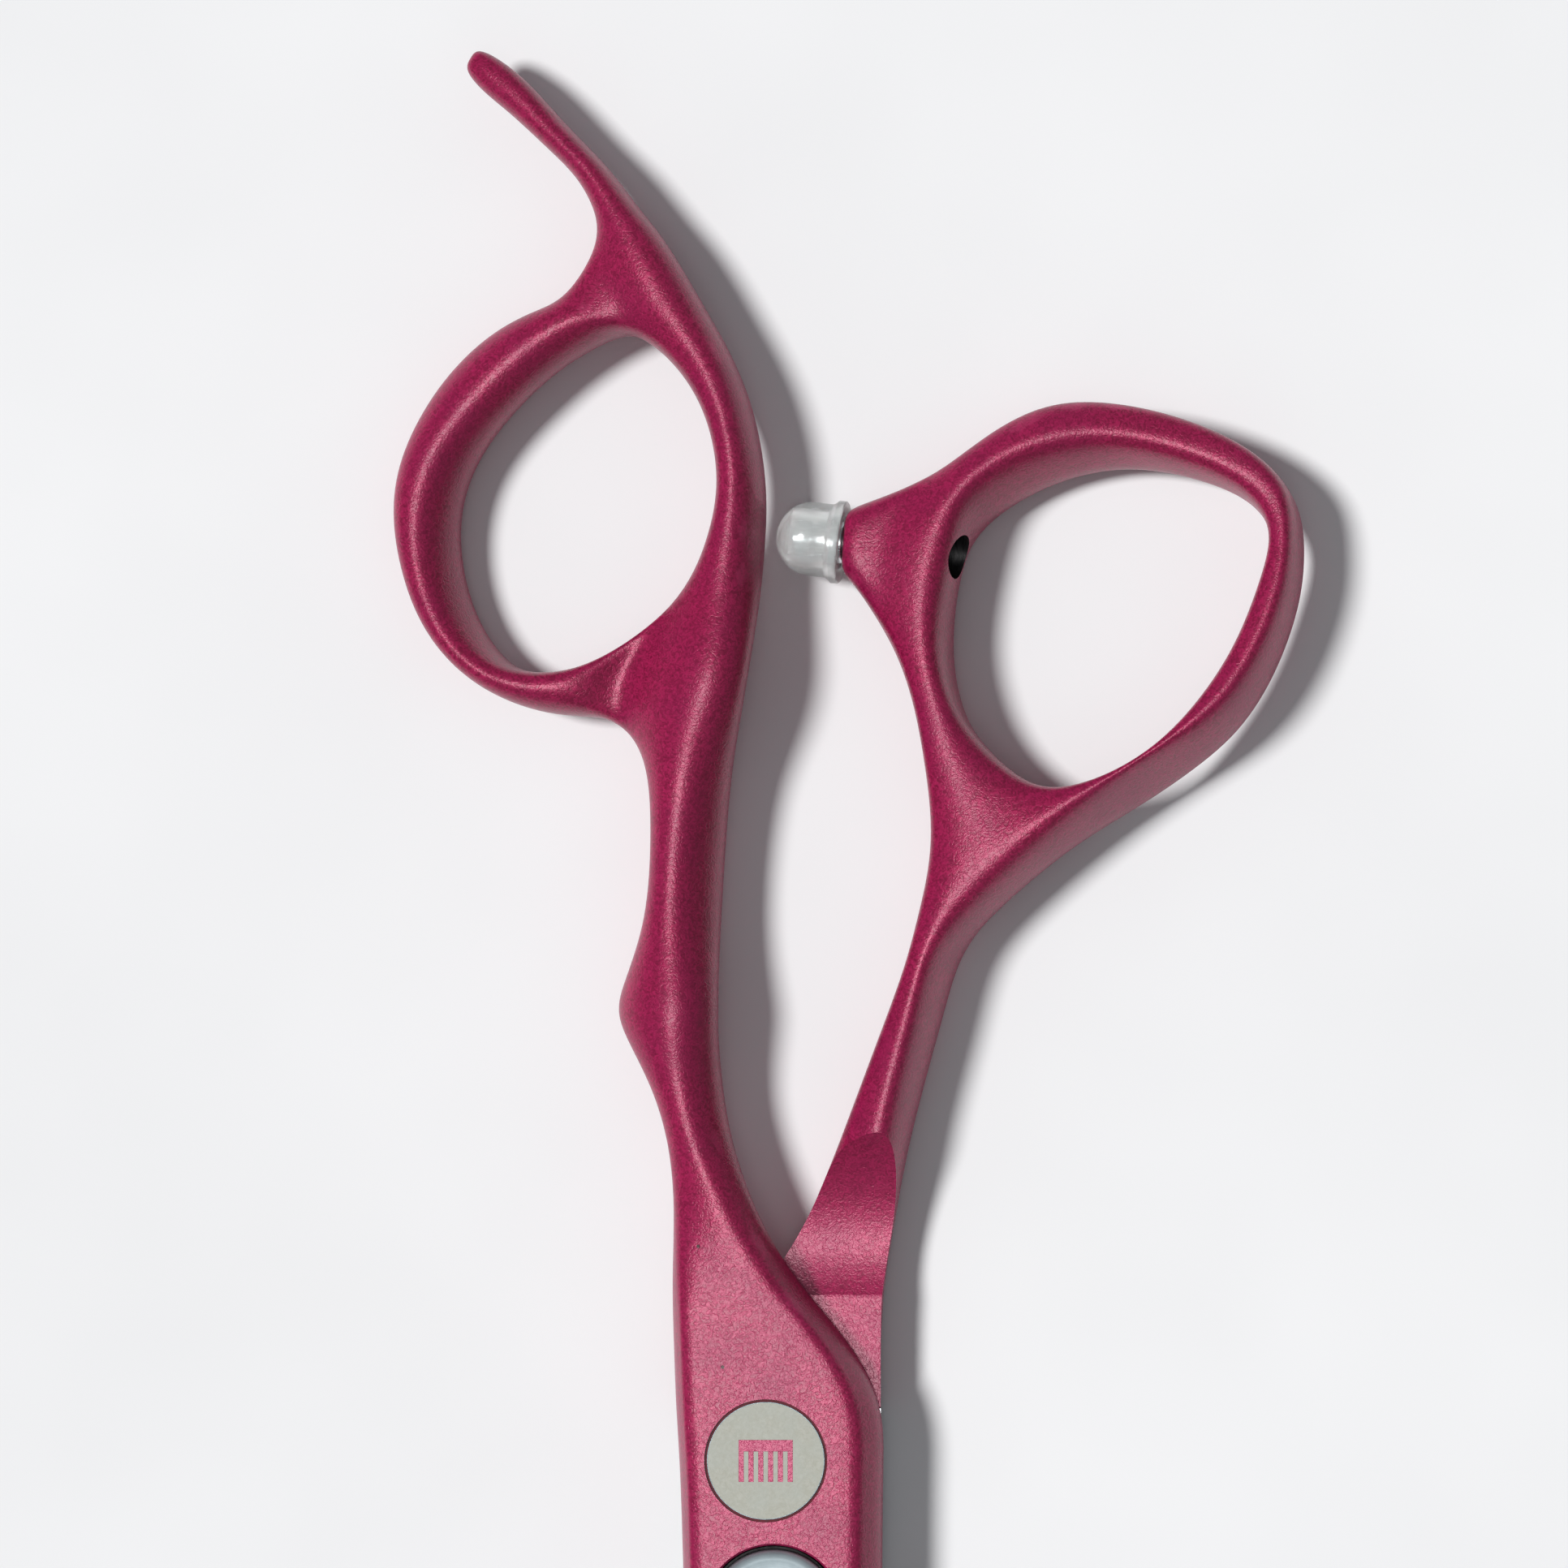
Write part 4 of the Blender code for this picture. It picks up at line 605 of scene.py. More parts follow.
def section(left, right, station, flat_profile, roundness):
    """The eight cage points of one section, between its outline points and leaning as told."""
    across = right - left
    reach = across.length / 2
    across = across / across.length
    soft, half_depth, lean = station.soft, station.depth / 2, Vector(station.lean)
    slope = across.dot(lean)
    half_width = reach * (1 - soft) + round_half_width(reach, half_depth, slope, roundness) * soft
    side = Vector((across.x, across.y, -slope)).normalized()
    up = Vector((*lean, 1)).normalized()
    centre = Vector(((left.x + right.x) / 2, (left.y + right.y) / 2, station.mid))
    shares = mixed(flat_profile(half_width, half_depth), round_profile(roundness), soft)
    return [centre + side * (x * half_width) + up * (z * half_depth) for x, z in shares]


def handle_sections(stations, flat_profile, roundness, ends=(None, None)):
    """The sections of a run of stations. The ends are the outline points just past the run."""
    beyond = [[None if e is None else Vector(e[side]) for e in ends] for side in (0, 1)]
    lefts = held([Vector(s.left) for s in stations], beyond[0])
    rights = held([Vector(s.right) for s in stations], beyond[1])
    return [
        section(left, right, s, flat_profile, roundness)
        for left, right, s in zip(lefts, rights, stations)
    ]


def add_rows(mesh, sections):
    return [[mesh.verts.new(point * MM) for point in points] for points in sections]


def add_ring_faces(mesh, first, second):
    for i in range(8):
        j = (i + 1) % 8
        mesh.faces.new((first[i], first[j], second[j], second[i]))


def add_cap(mesh, row, outward):
    """Closes a row with four quads round a middle point."""
    centre = sum([v.co for v in row], Vector()) / len(row)
    middle = mesh.verts.new(centre)
    for i in range(0, 8, 2):
        corner = (row[i], row[i + 1], row[(i + 2) % 8], middle)
        mesh.faces.new(corner if outward else corner[::-1])


def crease_layer(mesh):
    layers = mesh.edges.layers.float
    return layers.get("crease_edge") or layers.new("crease_edge")


def crease_rows(mesh, rows, softness, which, amount):
    """Creases the edges along the path at the columns given, less where the section is soft."""
    layer = crease_layer(mesh)
    for i in range(len(rows) - 1):
        for row in which:
            edge = mesh.edges.get((rows[i][row], rows[i + 1][row]))
            edge[layer] = amount * (1 - max(softness[i], softness[i + 1]))


def crease_end(mesh, row):
    layer = crease_layer(mesh)
    for i in range(8):
        mesh.edges.get((row[i], row[(i + 1) % 8]))[layer] = 1.0


def side_opening(mesh, rows, first, column):
    """Opens two by two faces on one side of a path and returns the eight points round the hole."""
    before, middle, after = rows[first], rows[first + 1], rows[first + 2]
    up, down = (column - 1, column + 1) if column == LEFT else (TOP_RIGHT, LOW_RIGHT)
    bmesh.ops.delete(mesh, geom=[middle[column]], context="VERTS")
    return [
        after[column], after[up], middle[up], before[up],
        before[column], before[down], middle[down], after[down],
    ]


def mesh_object(name, mesh):
    data = bpy.data.meshes.new(name)
    mesh.to_mesh(data)
    mesh.free()
    made = bpy.data.objects.new(name, data)
    bpy.context.scene.collection.objects.link(made)
    return made


def cage_object(name, mesh):
    """An object whose mesh is smoothed by subdivision."""
    bmesh.ops.recalc_face_normals(mesh, faces=mesh.faces)
    made = mesh_object(name, mesh)
    smooth = made.modifiers.new("smooth", "SUBSURF")
    smooth.levels = CAGE_LEVELS
    smooth.render_levels = CAGE_LEVELS
    return made


def finger_handle_cage():
    """The shank and finger rest as one path, with the ring joined on at its two openings."""
    mesh = bmesh.new()
    spine = add_rows(mesh, handle_sections(FINGER_SPINE, block_profile, FINGER_ROUND))
    for first, second in zip(spine, spine[1:]):
        add_ring_faces(mesh, first, second)
    add_cap(mesh, spine[0], True)
    add_cap(mesh, spine[-1], False)
    crease_rows(mesh, spine, [s.soft for s in FINGER_SPINE], CORNERS, FORGED_CREASE)
    crease_end(mesh, spine[0])
    lower, upper = FINGER_RING_LOWER, FINGER_RING_UPPER
    start = (FINGER_SPINE[lower].left, FINGER_SPINE[lower + 2].left)
    finish = (FINGER_SPINE[upper + 2].left, FINGER_SPINE[upper].left)
    ring_sections = handle_sections(FINGER_RING, block_profile, FINGER_ROUND, (start, finish))
    ring = add_rows(mesh, ring_sections)
    for first, second in zip(ring, ring[1:]):
        add_ring_faces(mesh, first, second)
    leaving = side_opening(mesh, spine, lower, LEFT)
    coming = side_opening(mesh, spine, upper, LEFT)
    add_ring_faces(mesh, leaving, ring[0])
    add_ring_faces(mesh, ring[-1], [coming[(4 - i) % 8] for i in range(8)])
    return cage_object("finger_handle_forging", mesh)


def thumb_handle_cage():
    """The shank and ring as one path that comes back to its own side, with the boss joined on."""
    mesh = bmesh.new()
    join, root = THUMB_RING_JOIN, THUMB_BOSS_ROOT
    finish = (THUMB_SPINE[join].right, THUMB_SPINE[join + 2].right)
    sections = handle_sections(THUMB_SPINE, plain_profile, THUMB_ROUND, (None, finish))
    path = add_rows(mesh, sections)
    for first, second in zip(path, path[1:]):
        add_ring_faces(mesh, first, second)
    add_cap(mesh, path[0], True)
    crease_rows(mesh, path, [s.soft for s in THUMB_SPINE], CORNERS, FORGED_CREASE)
    crease_end(mesh, path[0])
    boss = add_rows(mesh, handle_sections(THUMB_BOSS, plain_profile, THUMB_ROUND))
    for first, second in zip(boss, boss[1:]):
        add_ring_faces(mesh, first, second)
    add_cap(mesh, boss[-1], False)
    coming = side_opening(mesh, path, join, RIGHT)
    leaving = side_opening(mesh, path, root, LEFT)
    add_ring_faces(mesh, path[-1], coming)
    add_ring_faces(mesh, leaving, boss[0])
    return cage_object("thumb_handle_forging", mesh)


def blade_cage(name, outline, side):
    """A blade whose inner face lies on the ride plane: side is 1 above it and -1 below."""
    ride = RIDE_HIGH if side > 0 else RIDE_LOW
    sections = []
    for left, right, depth, wedge in outline:
        left = Vector(left)
        right = Vector(right)
        half_width = (left - right).length / 2
        centre = Vector(((left.x + right.x) / 2, (left.y + right.y) / 2, ride + side * depth / 2))
        shares = mixed(plain_profile(), wedge_profile(side), wedge)
        sections.append([centre + Vector((-x * half_width, 0, z * depth / 2)) for x, z in shares])
    for point in sections[0]:
        point.y -= WELD_GAP
    mesh = bmesh.new()
    rows = add_rows(mesh, sections)
    for first, second in zip(rows, rows[1:]):
        add_ring_faces(mesh, first, second)
    add_cap(mesh, rows[0], True)
    add_cap(mesh, rows[-1], False)
    sharp = (RIGHT, LOW_RIGHT, LOW_LEFT) if side > 0 else (LEFT, TOP_LEFT, TOP_RIGHT)
    crease_rows(mesh, rows, [wedge for *_, wedge in outline], CORNERS, 1.0)
    crease_rows(mesh, rows, [0.0] * len(rows), sharp, 1.0)
    crease_end(mesh, rows[0])
    return cage_object(name, mesh)


def turned(name, profile, place=None):
    """A solid of revolution about Z. The profile runs down its outer side."""
    data = bpy.data.meshes.new(name)
    points = [(r * MM, 0, z * MM) for r, z in profile]
    edges = [(i, i + 1) for i in range(len(points) - 1)]
    if profile[0][0] > 0:
        edges.append((len(points) - 1, 0))
    data.from_pydata(points, edges, [])
    made = bpy.data.objects.new(name, data)
    bpy.context.scene.collection.objects.link(made)
    spin = made.modifiers.new("spin", "SCREW")
    spin.steps = TURNED_STEPS
    spin.render_steps = TURNED_STEPS
    spin.use_merge_vertices = True
    spin.merge_threshold = 1e-5
    spin.use_normal_calculate = False
    if place is not None:
        made.matrix_world = place
    return made


def tube_profile(inner, outer, low, high, chamfer):
    """A washer's section with chamfered edges, from the top of its bore round its outside."""
    return [
        (inner + chamfer, high), (outer - chamfer, high), (outer, high - chamfer),
        (outer, low + chamfer), (outer - chamfer, low), (inner + chamfer, low),
        (inner, low + chamfer), (inner, high - chamfer),
    ]


def cut(target, tool):
    """Cuts the tool out of the target, and removes the tool. The cut faces take its material."""
    step = target.modifiers.new("cut", "BOOLEAN")
    step.operation = "DIFFERENCE"
    step.material_mode = "TRANSFER"
    step.object = tool
    settle(target)
    bpy.data.objects.remove(tool)


def settle(made):
    """Replaces the object's mesh with its evaluated one and drops the modifiers."""
    graph = bpy.context.evaluated_depsgraph_get()
    data = bpy.data.meshes.new_from_object(made.evaluated_get(graph))
    data.name = made.name
    made.modifiers.clear()
    made.data = data


def box_object(name, size, centre):
    mesh = bmesh.new()
    bmesh.ops.create_cube(mesh, size=1.0)
    bmesh.ops.scale(mesh, vec=Vector(size) * MM, verts=mesh.verts)
    bmesh.ops.translate(mesh, vec=Vector(centre) * MM, verts=mesh.verts)
    return mesh_object(name, mesh)


def cut_flats(bar, diameter, flats, low, high):
    """Cuts two flats on a round bar, this far apart."""
    for sign in (-1, 1):
        centre = (sign * (flats + diameter) / 2, 0, (low + high) / 2)
        cut(bar, box_object("flat", (diameter, 2 * diameter, high - low), centre))


def cylinder(name, radius, low, high, place=None):
    return turned(name, [(0, high), (radius, high), (radius, low), (0, low)], place)


def show(made, surface, body, slot, *nodes):
    """Finishes a piece: its mesh, shading, material, body and the nodes it stands for. The slot is not
    used.

    A piece whose mesh already has its materials is given no surface.
    """
    settle(made)
    made.data.transform(made.matrix_world)
    made.matrix_world = Matrix.Identity(4)
    if surface is not None:
        made.data.materials.clear()
        made.data.materials.append(surface)
    made.data.shade_smooth()
    made.data.set_sharp_from_angle(angle=SHARP_ANGLE)
    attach(made, body)
    if nodes:
        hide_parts(*nodes)


# ---------------------------------------------------------------------------
# Pieces
# ---------------------------------------------------------------------------


def relief_cutter():
    """What the ride face and its scoop take off the thumb forging: a side view in Y and Z."""
    lowest = RIDE_LOW - RELIEF_DIP
    centre_z = lowest + RELIEF_RADIUS
    half_start = math.acos((centre_z - RIDE_LOW) / RELIEF_RADIUS)
    half_end = math.radians(RELIEF_ARC)
    outline = [(-RELIEF_SPAN, RIDE_LOW)]
    for i in range(RELIEF_STEPS + 1):
        angle = -half_start + (half_start + half_end) * i / RELIEF_STEPS
        y = RELIEF_CENTRE_Y + RELIEF_RADIUS * math.sin(angle)
        outline.append((y, centre_z - RELIEF_RADIUS * math.cos(angle)))
    outline.append((outline[-1][0], TOPSIDE + RELIEF_SPAN))
    outline.append((-RELIEF_SPAN, TOPSIDE + RELIEF_SPAN))
    mesh = bmesh.new()
    face = mesh.faces.new([mesh.verts.new(Vector((-RELIEF_SPAN, y, z)) * MM) for y, z in outline])
    grown = bmesh.ops.extrude_face_region(mesh, geom=[face])
    moved = [item for item in grown["geom"] if isinstance(item, bmesh.types.BMVert)]
    bmesh.ops.translate(mesh, vec=(2 * RELIEF_SPAN * MM, 0, 0), verts=moved)
    bmesh.ops.recalc_face_normals(mesh, faces=mesh.faces)
    return mesh_object("relief_cutter", mesh)


def bumper_frame():
    """Where the bumper's own Z axis points and stands: out of the boss, towards the finger shank."""
    end = THUMB_BOSS[-1]
    middle = (Vector(end.left) + Vector(end.right)) / 2
    out = Vector(BUMPER_DIRECTION).normalized()
    turn = out.to_track_quat("Z", "Y").to_matrix().to_4x4()
    return Matrix.Translation(Vector((middle.x, middle.y, end.mid)) * MM) @ turn


def finger_handle_piece(paint, groove_shade):
    """The upper forging, with the dial's recess, the bore and the etched disc's pocket."""
    handle = finger_handle_cage()
    handle.data.materials.append(paint)
    above = TOPSIDE + CUT_PAST
    recess = [
        (0, above), (RECESS_RADIUS + RECESS_RIM + CUT_PAST, above),
        (RECESS_RADIUS, TOPSIDE - RECESS_RIM), (RECESS_RADIUS, RECESS_FLOOR), (0, RECESS_FLOOR),
    ]
    cut(handle, turned("recess", recess))
    cut(handle, cylinder("bore", BUSH_RADIUS + FIT_GAP, RIDE_LOW - CUT_PAST, TOPSIDE))
    place = Matrix.Translation(Vector((*DISC_CENTRE, 0)) * MM)
    # The pocket's faces take the dark painted shade of the groove round the disc.
    pocket = cylinder("pocket", DISC_RADIUS + DISC_SHADED_GROOVE, TOPSIDE - DISC_SUNK, above, place)
    pocket.data.materials.append(groove_shade)
    cut(handle, pocket)
    show(handle, None, "upper_half", "handle_paint", "finger_handle")


def thumb_handle_piece(paint, hole_shade, place):
    """The lower forging, with its ride face and scoop and the stud's hole through the boss."""
    handle = thumb_handle_cage()
    handle.data.materials.append(paint)
    cut(handle, relief_cutter())
    hole = cylinder("boss_hole", STUD_DIAMETER / 2 + FIT_GAP, -BOSS_HOLE_LENGTH, CUT_PAST, place)
    # The hole's wall takes the near-black painted shade.
    hole.data.materials.append(hole_shade)
    cut(handle, hole)
    show(handle, None, "lower_half", "handle_paint", "thumb_handle")


def blades(steel):
    """The two ground blades. The lower one has the pocket of the bolt's head and its keyed hole."""
    upper = blade_cage("finger_blade_ground", FINGER_BLADE, 1)
    show(upper, steel, "upper_half", "blade_steel", "finger_blade")
    plate = blade_cage("thumb_blade_ground", THUMB_BLADE, -1)
    pocket_top = BOLT_HEAD_THICKNESS + FIT_GAP
    cut(plate, cylinder("head_pocket", HEAD_RADIUS + FIT_GAP, -CUT_PAST, pocket_top))
    neck = BOLT_NECK_DIAMETER + 2 * FIT_GAP
    neck_hole = cylinder("neck_hole", neck / 2, UNDERSIDE, RIDE_LOW + FIT_GAP)
    cut_flats(neck_hole, neck, BOLT_NECK_FLATS + 2 * FIT_GAP, -CUT_PAST, RIDE_LOW + CUT_PAST)
    cut(plate, neck_hole)
    show(plate, steel, "lower_half", "blade_steel", "thumb_blade")


def thread(radius, top, bottom):
    """The turned outline of a thread, from its top to its bottom."""
    turns = int((top - bottom) / THREAD_PITCH)
    points = []
    for i in range(turns):
        z = top - i * THREAD_PITCH
        points += [(radius, z), (radius - THREAD_DEPTH, z - THREAD_PITCH / 2)]
    return points + [(radius, top - turns * THREAD_PITCH)]


def pivot_bolt_piece(bright):
    """The bolt: ringed flat head, keyed neck, threaded shaft and a slot in its end."""
    top = high_corner("pivot_bolt").z
    neck_top = RIDE_LOW - 2 * FIT_GAP
    neck, head, shaft = BOLT_NECK_DIAMETER / 2, HEAD_RADIUS, BOLT_SHAFT_RADIUS
    tip = [(0, top), (shaft - BOLT_CHAMFER, top)]
    ring_slope = (BOLT_RING_OUTER - BOLT_RING_INNER) / 4
    profile = tip + thread(shaft, top - BOLT_CHAMFER, RECESS_FLOOR) + [
        (shaft, neck_top), (neck, neck_top), (neck, BOLT_HEAD_THICKNESS),
        (head, BOLT_HEAD_THICKNESS), (head, BOLT_CHAMFER), (head - BOLT_CHAMFER, 0.0),
        (BOLT_RING_OUTER, 0.0), (BOLT_RING_OUTER - ring_slope, BOLT_RING_DEPTH),
        (BOLT_RING_INNER + ring_slope, BOLT_RING_DEPTH), (BOLT_RING_INNER, 0.0), (0, 0.0),
    ]
    bolt = turned("pivot_bolt_turned", profile)
    cut_flats(bolt, BOLT_NECK_DIAMETER, BOLT_NECK_FLATS, BOLT_HEAD_THICKNESS, neck_top + FIT_GAP)
    size = (BOLT_SLOT_WIDTH, 2 * HEAD_RADIUS, 2 * BOLT_SLOT_DEPTH)
    cut(bolt, box_object("slot", size, (0, 0, top)))
    show(bolt, bright, "lower_half", "pivot_steel", "pivot_bolt")


def stack_rings(bronze, nylon, steel):
    """The bush on the bolt, and the click ring and dished washer under the dial."""
    for name, node, surface, slot, inner in (
        ("pivot_bush_turned", "pivot_bush", bronze, "bush_bronze", BOLT_SHAFT_RADIUS + FIT_GAP),
        ("click_ring_moulded", "click_ring", nylon, "black_nylon", HUB_RADIUS + 4 * FIT_GAP),
    ):
        low, high = low_corner(node), high_corner(node)
        profile = tube_profile(inner, high.x, low.z, high.z, RING_CHAMFER)
        show(turned(name, profile), surface, "upper_half", slot, node)
    inner, outer = HUB_RADIUS + FIT_GAP, high_corner("spring_washer").x
    middle = (inner + outer) / 2
    rim_low = low_corner("spring_washer").z
    middle_low, inner_low = rim_low + WASHER_RISE * 0.6, rim_low + WASHER_RISE
    thick = WASHER_THICKNESS
    profile = [
        (inner, inner_low + thick), (middle, middle_low + thick), (outer, rim_low + thick),
        (outer, rim_low), (middle, middle_low), (inner, inner_low),
    ]
    show(turned("spring_washer_dished", profile), steel, "upper_half", "blade_steel", "spring_washer")


def dial_piece(satin):
    """The tension dial: a domed disc with two scooped finger grips and its hub."""
    inner = BOLT_SHAFT_RADIUS + FIT_GAP
    high = high_corner("tension_dial").z
    low = high - DIAL_THICKNESS
    foot = RECESS_FLOOR + FIT_GAP
    dome = [
        (inner + DIAL_COUNTERSINK, high), (DIAL_RADIUS * 0.6, high - 0.01),
        (DIAL_RADIUS - 0.55, high - 0.06),
        (DIAL_RADIUS - 0.25, high - 0.16), (DIAL_RADIUS - 0.06, high - 0.34), (DIAL_RADIUS, high - 0.55),
    ]
    profile = [(inner, high - DIAL_COUNTERSINK)] + dome + [
        (DIAL_RADIUS, low + 0.1), (DIAL_RADIUS - 0.1, low), (HUB_RADIUS, low), (HUB_RADIUS, foot),
        (inner, foot),
    ]
    dial = turned("tension_dial_turned", profile)
    for sign in (-1, 1):
        mesh = bmesh.new()
        centre = Vector((sign * SCOOP_OFFSET, 0, high + SCOOP_RADIUS - SCOOP_DEPTH))
        bmesh.ops.create_uvsphere(
            mesh, u_segments=SCOOP_SEGMENTS, v_segments=SCOOP_RINGS, radius=SCOOP_RADIUS * MM,
            matrix=Matrix.Translation(centre * MM),
        )
        cut(dial, mesh_object("scoop", mesh))
    show(dial, satin, "dial", "pivot_steel", "tension_dial")


def comb_outline():
    """A small comb, the generic motif left in paint on the etched disc: back bar and teeth."""
    pitch = (COMB_WIDTH - COMB_TOOTH) / (COMB_TEETH - 1)
    bars = [(0.0, COMB_HEIGHT / 2 - COMB_BACK / 2, COMB_WIDTH, COMB_BACK)]
    for i in range(COMB_TEETH):
        x = -COMB_WIDTH / 2 + COMB_TOOTH / 2 + i * pitch
        bars.append((x, -COMB_BACK / 2, COMB_TOOTH, COMB_HEIGHT - COMB_BACK + COMB_OVERLAP))
    return bars


def etched_disc_piece(metal, satin):
    """The laser-etched disc with its rim, cut out where the comb is left standing."""
    place = Matrix.Translation(Vector((*DISC_CENTRE, 0)) * MM)
    top = TOPSIDE - DISC_DROP
    foot = TOPSIDE - DISC_SUNK + DISC_FOOT_GAP
    inner = DISC_RADIUS - DISC_RIM
    disc = cylinder("etched_disc", inner + RIM_OVERLAP, foot, top, place)
    for i, (x, y, wide, tall) in enumerate(comb_outline()):
        centre = (DISC_CENTRE.x + x, DISC_CENTRE.y + y, TOPSIDE)
        cut(disc, box_object(f"tooth_{i}", (wide, tall, 1.0), centre))
    show(disc, metal, "upper_half", "blade_steel")
    rim = tube_profile(inner, DISC_RADIUS, foot, top + RIM_OVERLAP, RIM_CHAMFER)
    show(turned("disc_rim", rim, place), satin, "upper_half", "blade_steel")


def comb_mark_piece(paint):
    """The comb in the paint left standing in the disc."""
    mesh = bmesh.new()
    low = TOPSIDE - DISC_SUNK - COMB_OVERLAP
    high = TOPSIDE - COMB_DROP
    for x, y, wide, tall in comb_outline():
        size = Vector((wide - COMB_CLEARANCE, tall - COMB_CLEARANCE, high - low))
        made = bmesh.ops.create_cube(mesh, size=1.0)["verts"]
        bmesh.ops.scale(mesh, vec=size * MM, verts=made)
        centre = Vector((DISC_CENTRE.x + x, DISC_CENTRE.y + y, (low + high) / 2))
        bmesh.ops.translate(mesh, vec=centre * MM, verts=made)
    show(mesh_object("comb_mark", mesh), paint, "upper_half", "handle_paint")


def bumper_piece(silicone, place):
    """The domed silicone stop with its flange, hollow where the stud's head and collar sit."""
    body = BUMPER_DIAMETER / 2
    flange = body + BUMPER_LIP
    pocket = STUD_DIAMETER / 2 + PRESS_GAP
    collar = pocket + STUD_COLLAR_LIP
    base = FIT_GAP
    collar_top = base + STUD_COLLAR_WIDTH + 2 * FIT_GAP
    pocket_top = BUMPER_LENGTH - STUD_HEAD_INSET + PRESS_GAP
    dome = []
    for i in range(DOME_STEPS + 1):
        angle = math.pi / 2 * i / DOME_STEPS
        dome.append((body * math.sin(angle), BUMPER_LENGTH - BUMPER_DOME * (1 - math.cos(angle))))
    flange_top = base + BUMPER_FLANGE_WIDTH
    profile = dome + [
        (body, flange_top + BUMPER_LIP + 0.15), (body + 0.05, flange_top + BUMPER_LIP),
        (flange - 0.05, flange_top + 0.06), (flange, flange_top), (flange, base + 0.08),
        (flange - 0.08, base), (collar, base), (collar, collar_top), (pocket, collar_top),
        (pocket, pocket_top), (0, pocket_top),
    ]
    show(turned("bumper_moulded", profile, place), silicone, "lower_half", "clear_silicone", "bumper")


def stud_piece(bright, place):
    """The stud that the bumper is pressed on: head, groove, collar and the thread in the boss."""
    stud = STUD_DIAMETER / 2
    collar = stud + STUD_COLLAR_LIP
    top = BUMPER_LENGTH - STUD_HEAD_INSET
    low = 2 * FIT_GAP
    high = low + STUD_COLLAR_WIDTH
    groove_top = top - STUD_HEAD_LENGTH
    groove_low = groove_top - STUD_GROOVE_WIDTH
    neck = stud - STUD_GROOVE_DEPTH
    edge = stud - STUD_CHAMFER
    profile = [
        (0, top), (stud - STUD_HEAD_CHAMFER, top), (stud, top - STUD_HEAD_CHAMFER),
        (stud, groove_top + STUD_CHAMFER), (edge, groove_top), (neck, groove_top),
        (neck, groove_low), (edge, groove_low), (stud, groove_low - STUD_CHAMFER),
        (stud, high), (collar, high), (collar, low), (stud, low),
    ]
    profile += thread(stud, low - STUD_CHAMFER, -STUD_GRIP)
    profile += [(stud - STUD_TIP_CHAMFER, -STUD_GRIP), (0, -STUD_GRIP)]
    show(turned("bumper_stud_turned", profile, place), bright, "lower_half", "pivot_steel", "bumper_stud")


# ---------------------------------------------------------------------------
# Studio: lengths in millimetres, except the floor's half width, and the panel's power in watts
# ---------------------------------------------------------------------------

CAMERA_CENTRE = (0.68, 53.6)
FRAME_WIDTH = 101.7
LENS = 200.0
SENSOR = 36.0
FLOOR_GAP = 0.02
FLOOR_REACH_M = 3.0
WORLD_COLOR = (0.92, 0.95, 1.0, 1.0)
WORLD_STRENGTH = 0.2
PANEL_SIZE = (220, 270)
PANEL_POWER = 3.0
PANEL_PLACE = (-50, -45, 900)
PANEL_AIM = (0, 40, 0)
KEY_STRENGTH = 3.4
KEY_ANGLE = math.radians(12)
KEY_DIRECTION = Vector((0.76, -0.14, -1.0))


def camera():
    """Looks straight down on the handles, as far away as the lens needs for the frame's width."""
    data = bpy.data.cameras.new("camera")
    data.lens = LENS
    data.sensor_width = SENSOR
    data.clip_start = 0.01
    data.clip_end = 100
    made = bpy.data.objects.new("camera", data)
    bpy.context.scene.collection.objects.link(made)
    made.location = Vector((*CAMERA_CENTRE, RIDE + FRAME_WIDTH * LENS / SENSOR)) * MM
    bpy.context.scene.camera = made


def place_light(data, name, direction):
    """Puts a light in the scene, facing this way."""
    made = bpy.data.objects.new(name, data)
    bpy.context.scene.collection.objects.link(made)
    made.rotation_euler = direction.to_track_quat("-Z", "Y").to_euler()
    return made


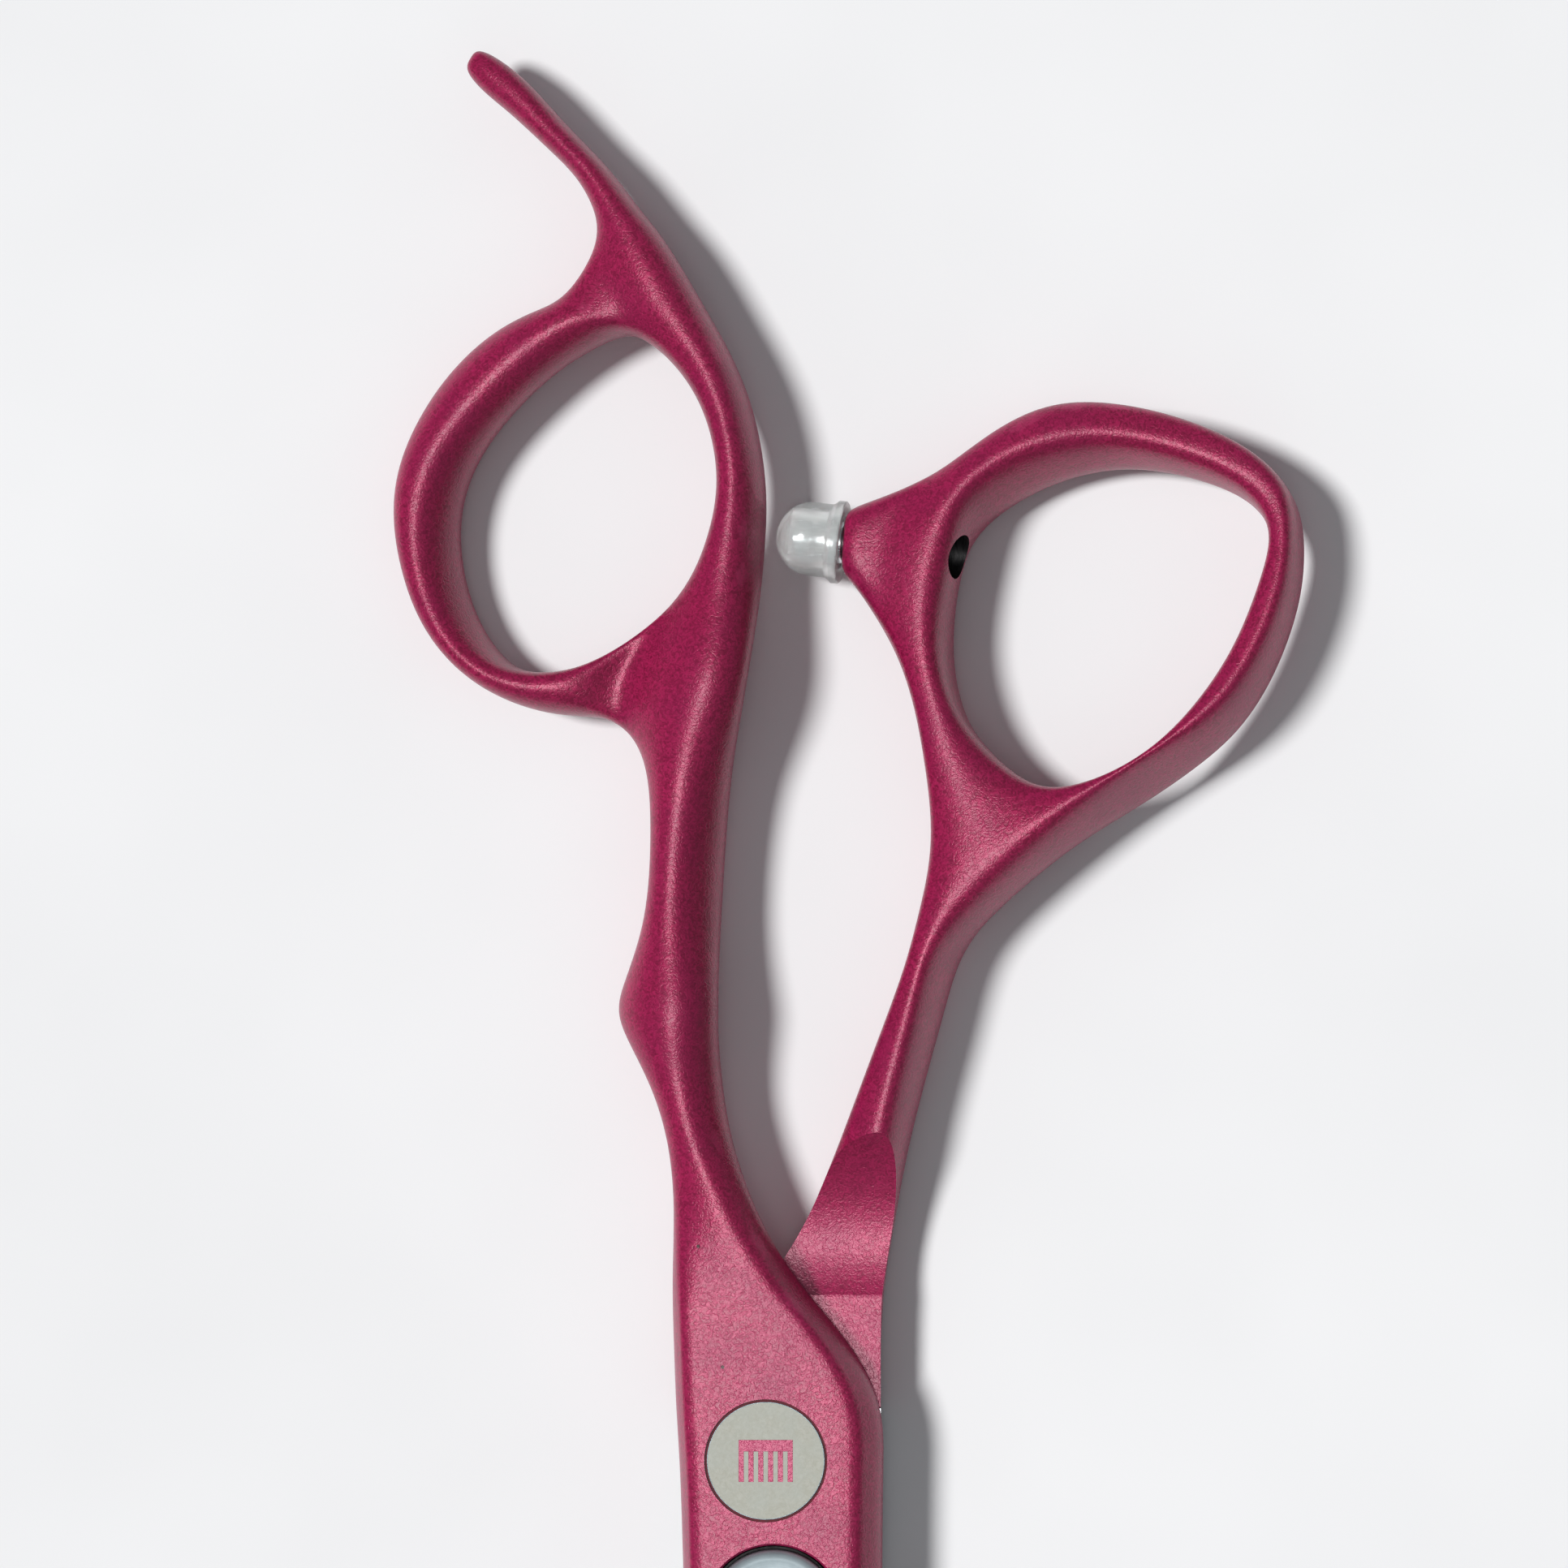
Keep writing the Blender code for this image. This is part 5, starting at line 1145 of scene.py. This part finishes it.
def lights():
    """One soft panel that shows only in reflections, and one soft key light that doesn't."""
    panel = bpy.data.lights.new("top_panel", "AREA")
    panel.shape = "RECTANGLE"
    panel.size = PANEL_SIZE[0] * MM
    panel.size_y = PANEL_SIZE[1] * MM
    panel.energy = PANEL_POWER
    made = place_light(panel, "top_panel", Vector(PANEL_AIM) - Vector(PANEL_PLACE))
    made.location = Vector(PANEL_PLACE) * MM
    made.visible_diffuse = False
    key = bpy.data.lights.new("key", "SUN")
    key.energy = KEY_STRENGTH
    key.angle = KEY_ANGLE
    place_light(key, "key", KEY_DIRECTION).visible_glossy = False


def surroundings():
    """The pale floor and the dim sky."""
    mesh = bmesh.new()
    bmesh.ops.create_grid(mesh, x_segments=1, y_segments=1, size=FLOOR_REACH_M)
    floor = mesh_object("floor", mesh)
    floor.location = (0, 0, cad_box[0].z - FLOOR_GAP * MM)
    n = Nodes("pale_floor")
    cloud = n.noise(n.place(), 0.02, 3.0, 0.6)
    color = n.mix(n.ramp(cloud, 0.35, 0.7), (0.86, 0.86, 0.865), (0.82, 0.82, 0.825))
    rough = n.ramp(cloud, 0.3, 0.7, 0.55, 0.6)
    floor.data.materials.append(n.set(Base_Color=color, Roughness=rough))
    world = bpy.data.worlds.new("studio")
    world.use_nodes = True
    background = world.node_tree.nodes["Background"]
    background.inputs["Color"].default_value = WORLD_COLOR
    background.inputs["Strength"].default_value = WORLD_STRENGTH
    bpy.context.scene.world = world
    bpy.context.scene.view_settings.view_transform = "Standard"


def main():
    camera()
    surroundings()
    lights()
    paint, steel = enamel(), ground_steel()
    bright = turned_steel("bright_steel", (0.66, 0.68, 0.70), (0.56, 0.58, 0.60), 0.16, 0.26)
    satin = turned_steel("satin_steel", (0.68, 0.78, 0.81), (0.60, 0.69, 0.72), 0.58, 0.68)
    place = bumper_frame()
    finger_handle_piece(paint, groove_shade_paint())
    thumb_handle_piece(paint, hole_shade_steel(), place)
    blades(steel)
    pivot_bolt_piece(bright)
    stack_rings(bearing_bronze(), black_nylon(), steel)
    dial_piece(satin)
    etched_disc_piece(etched_metal(), satin)
    comb_mark_piece(paint)
    bumper_piece(clear_silicone(), place)
    stud_piece(bright, place)


main()
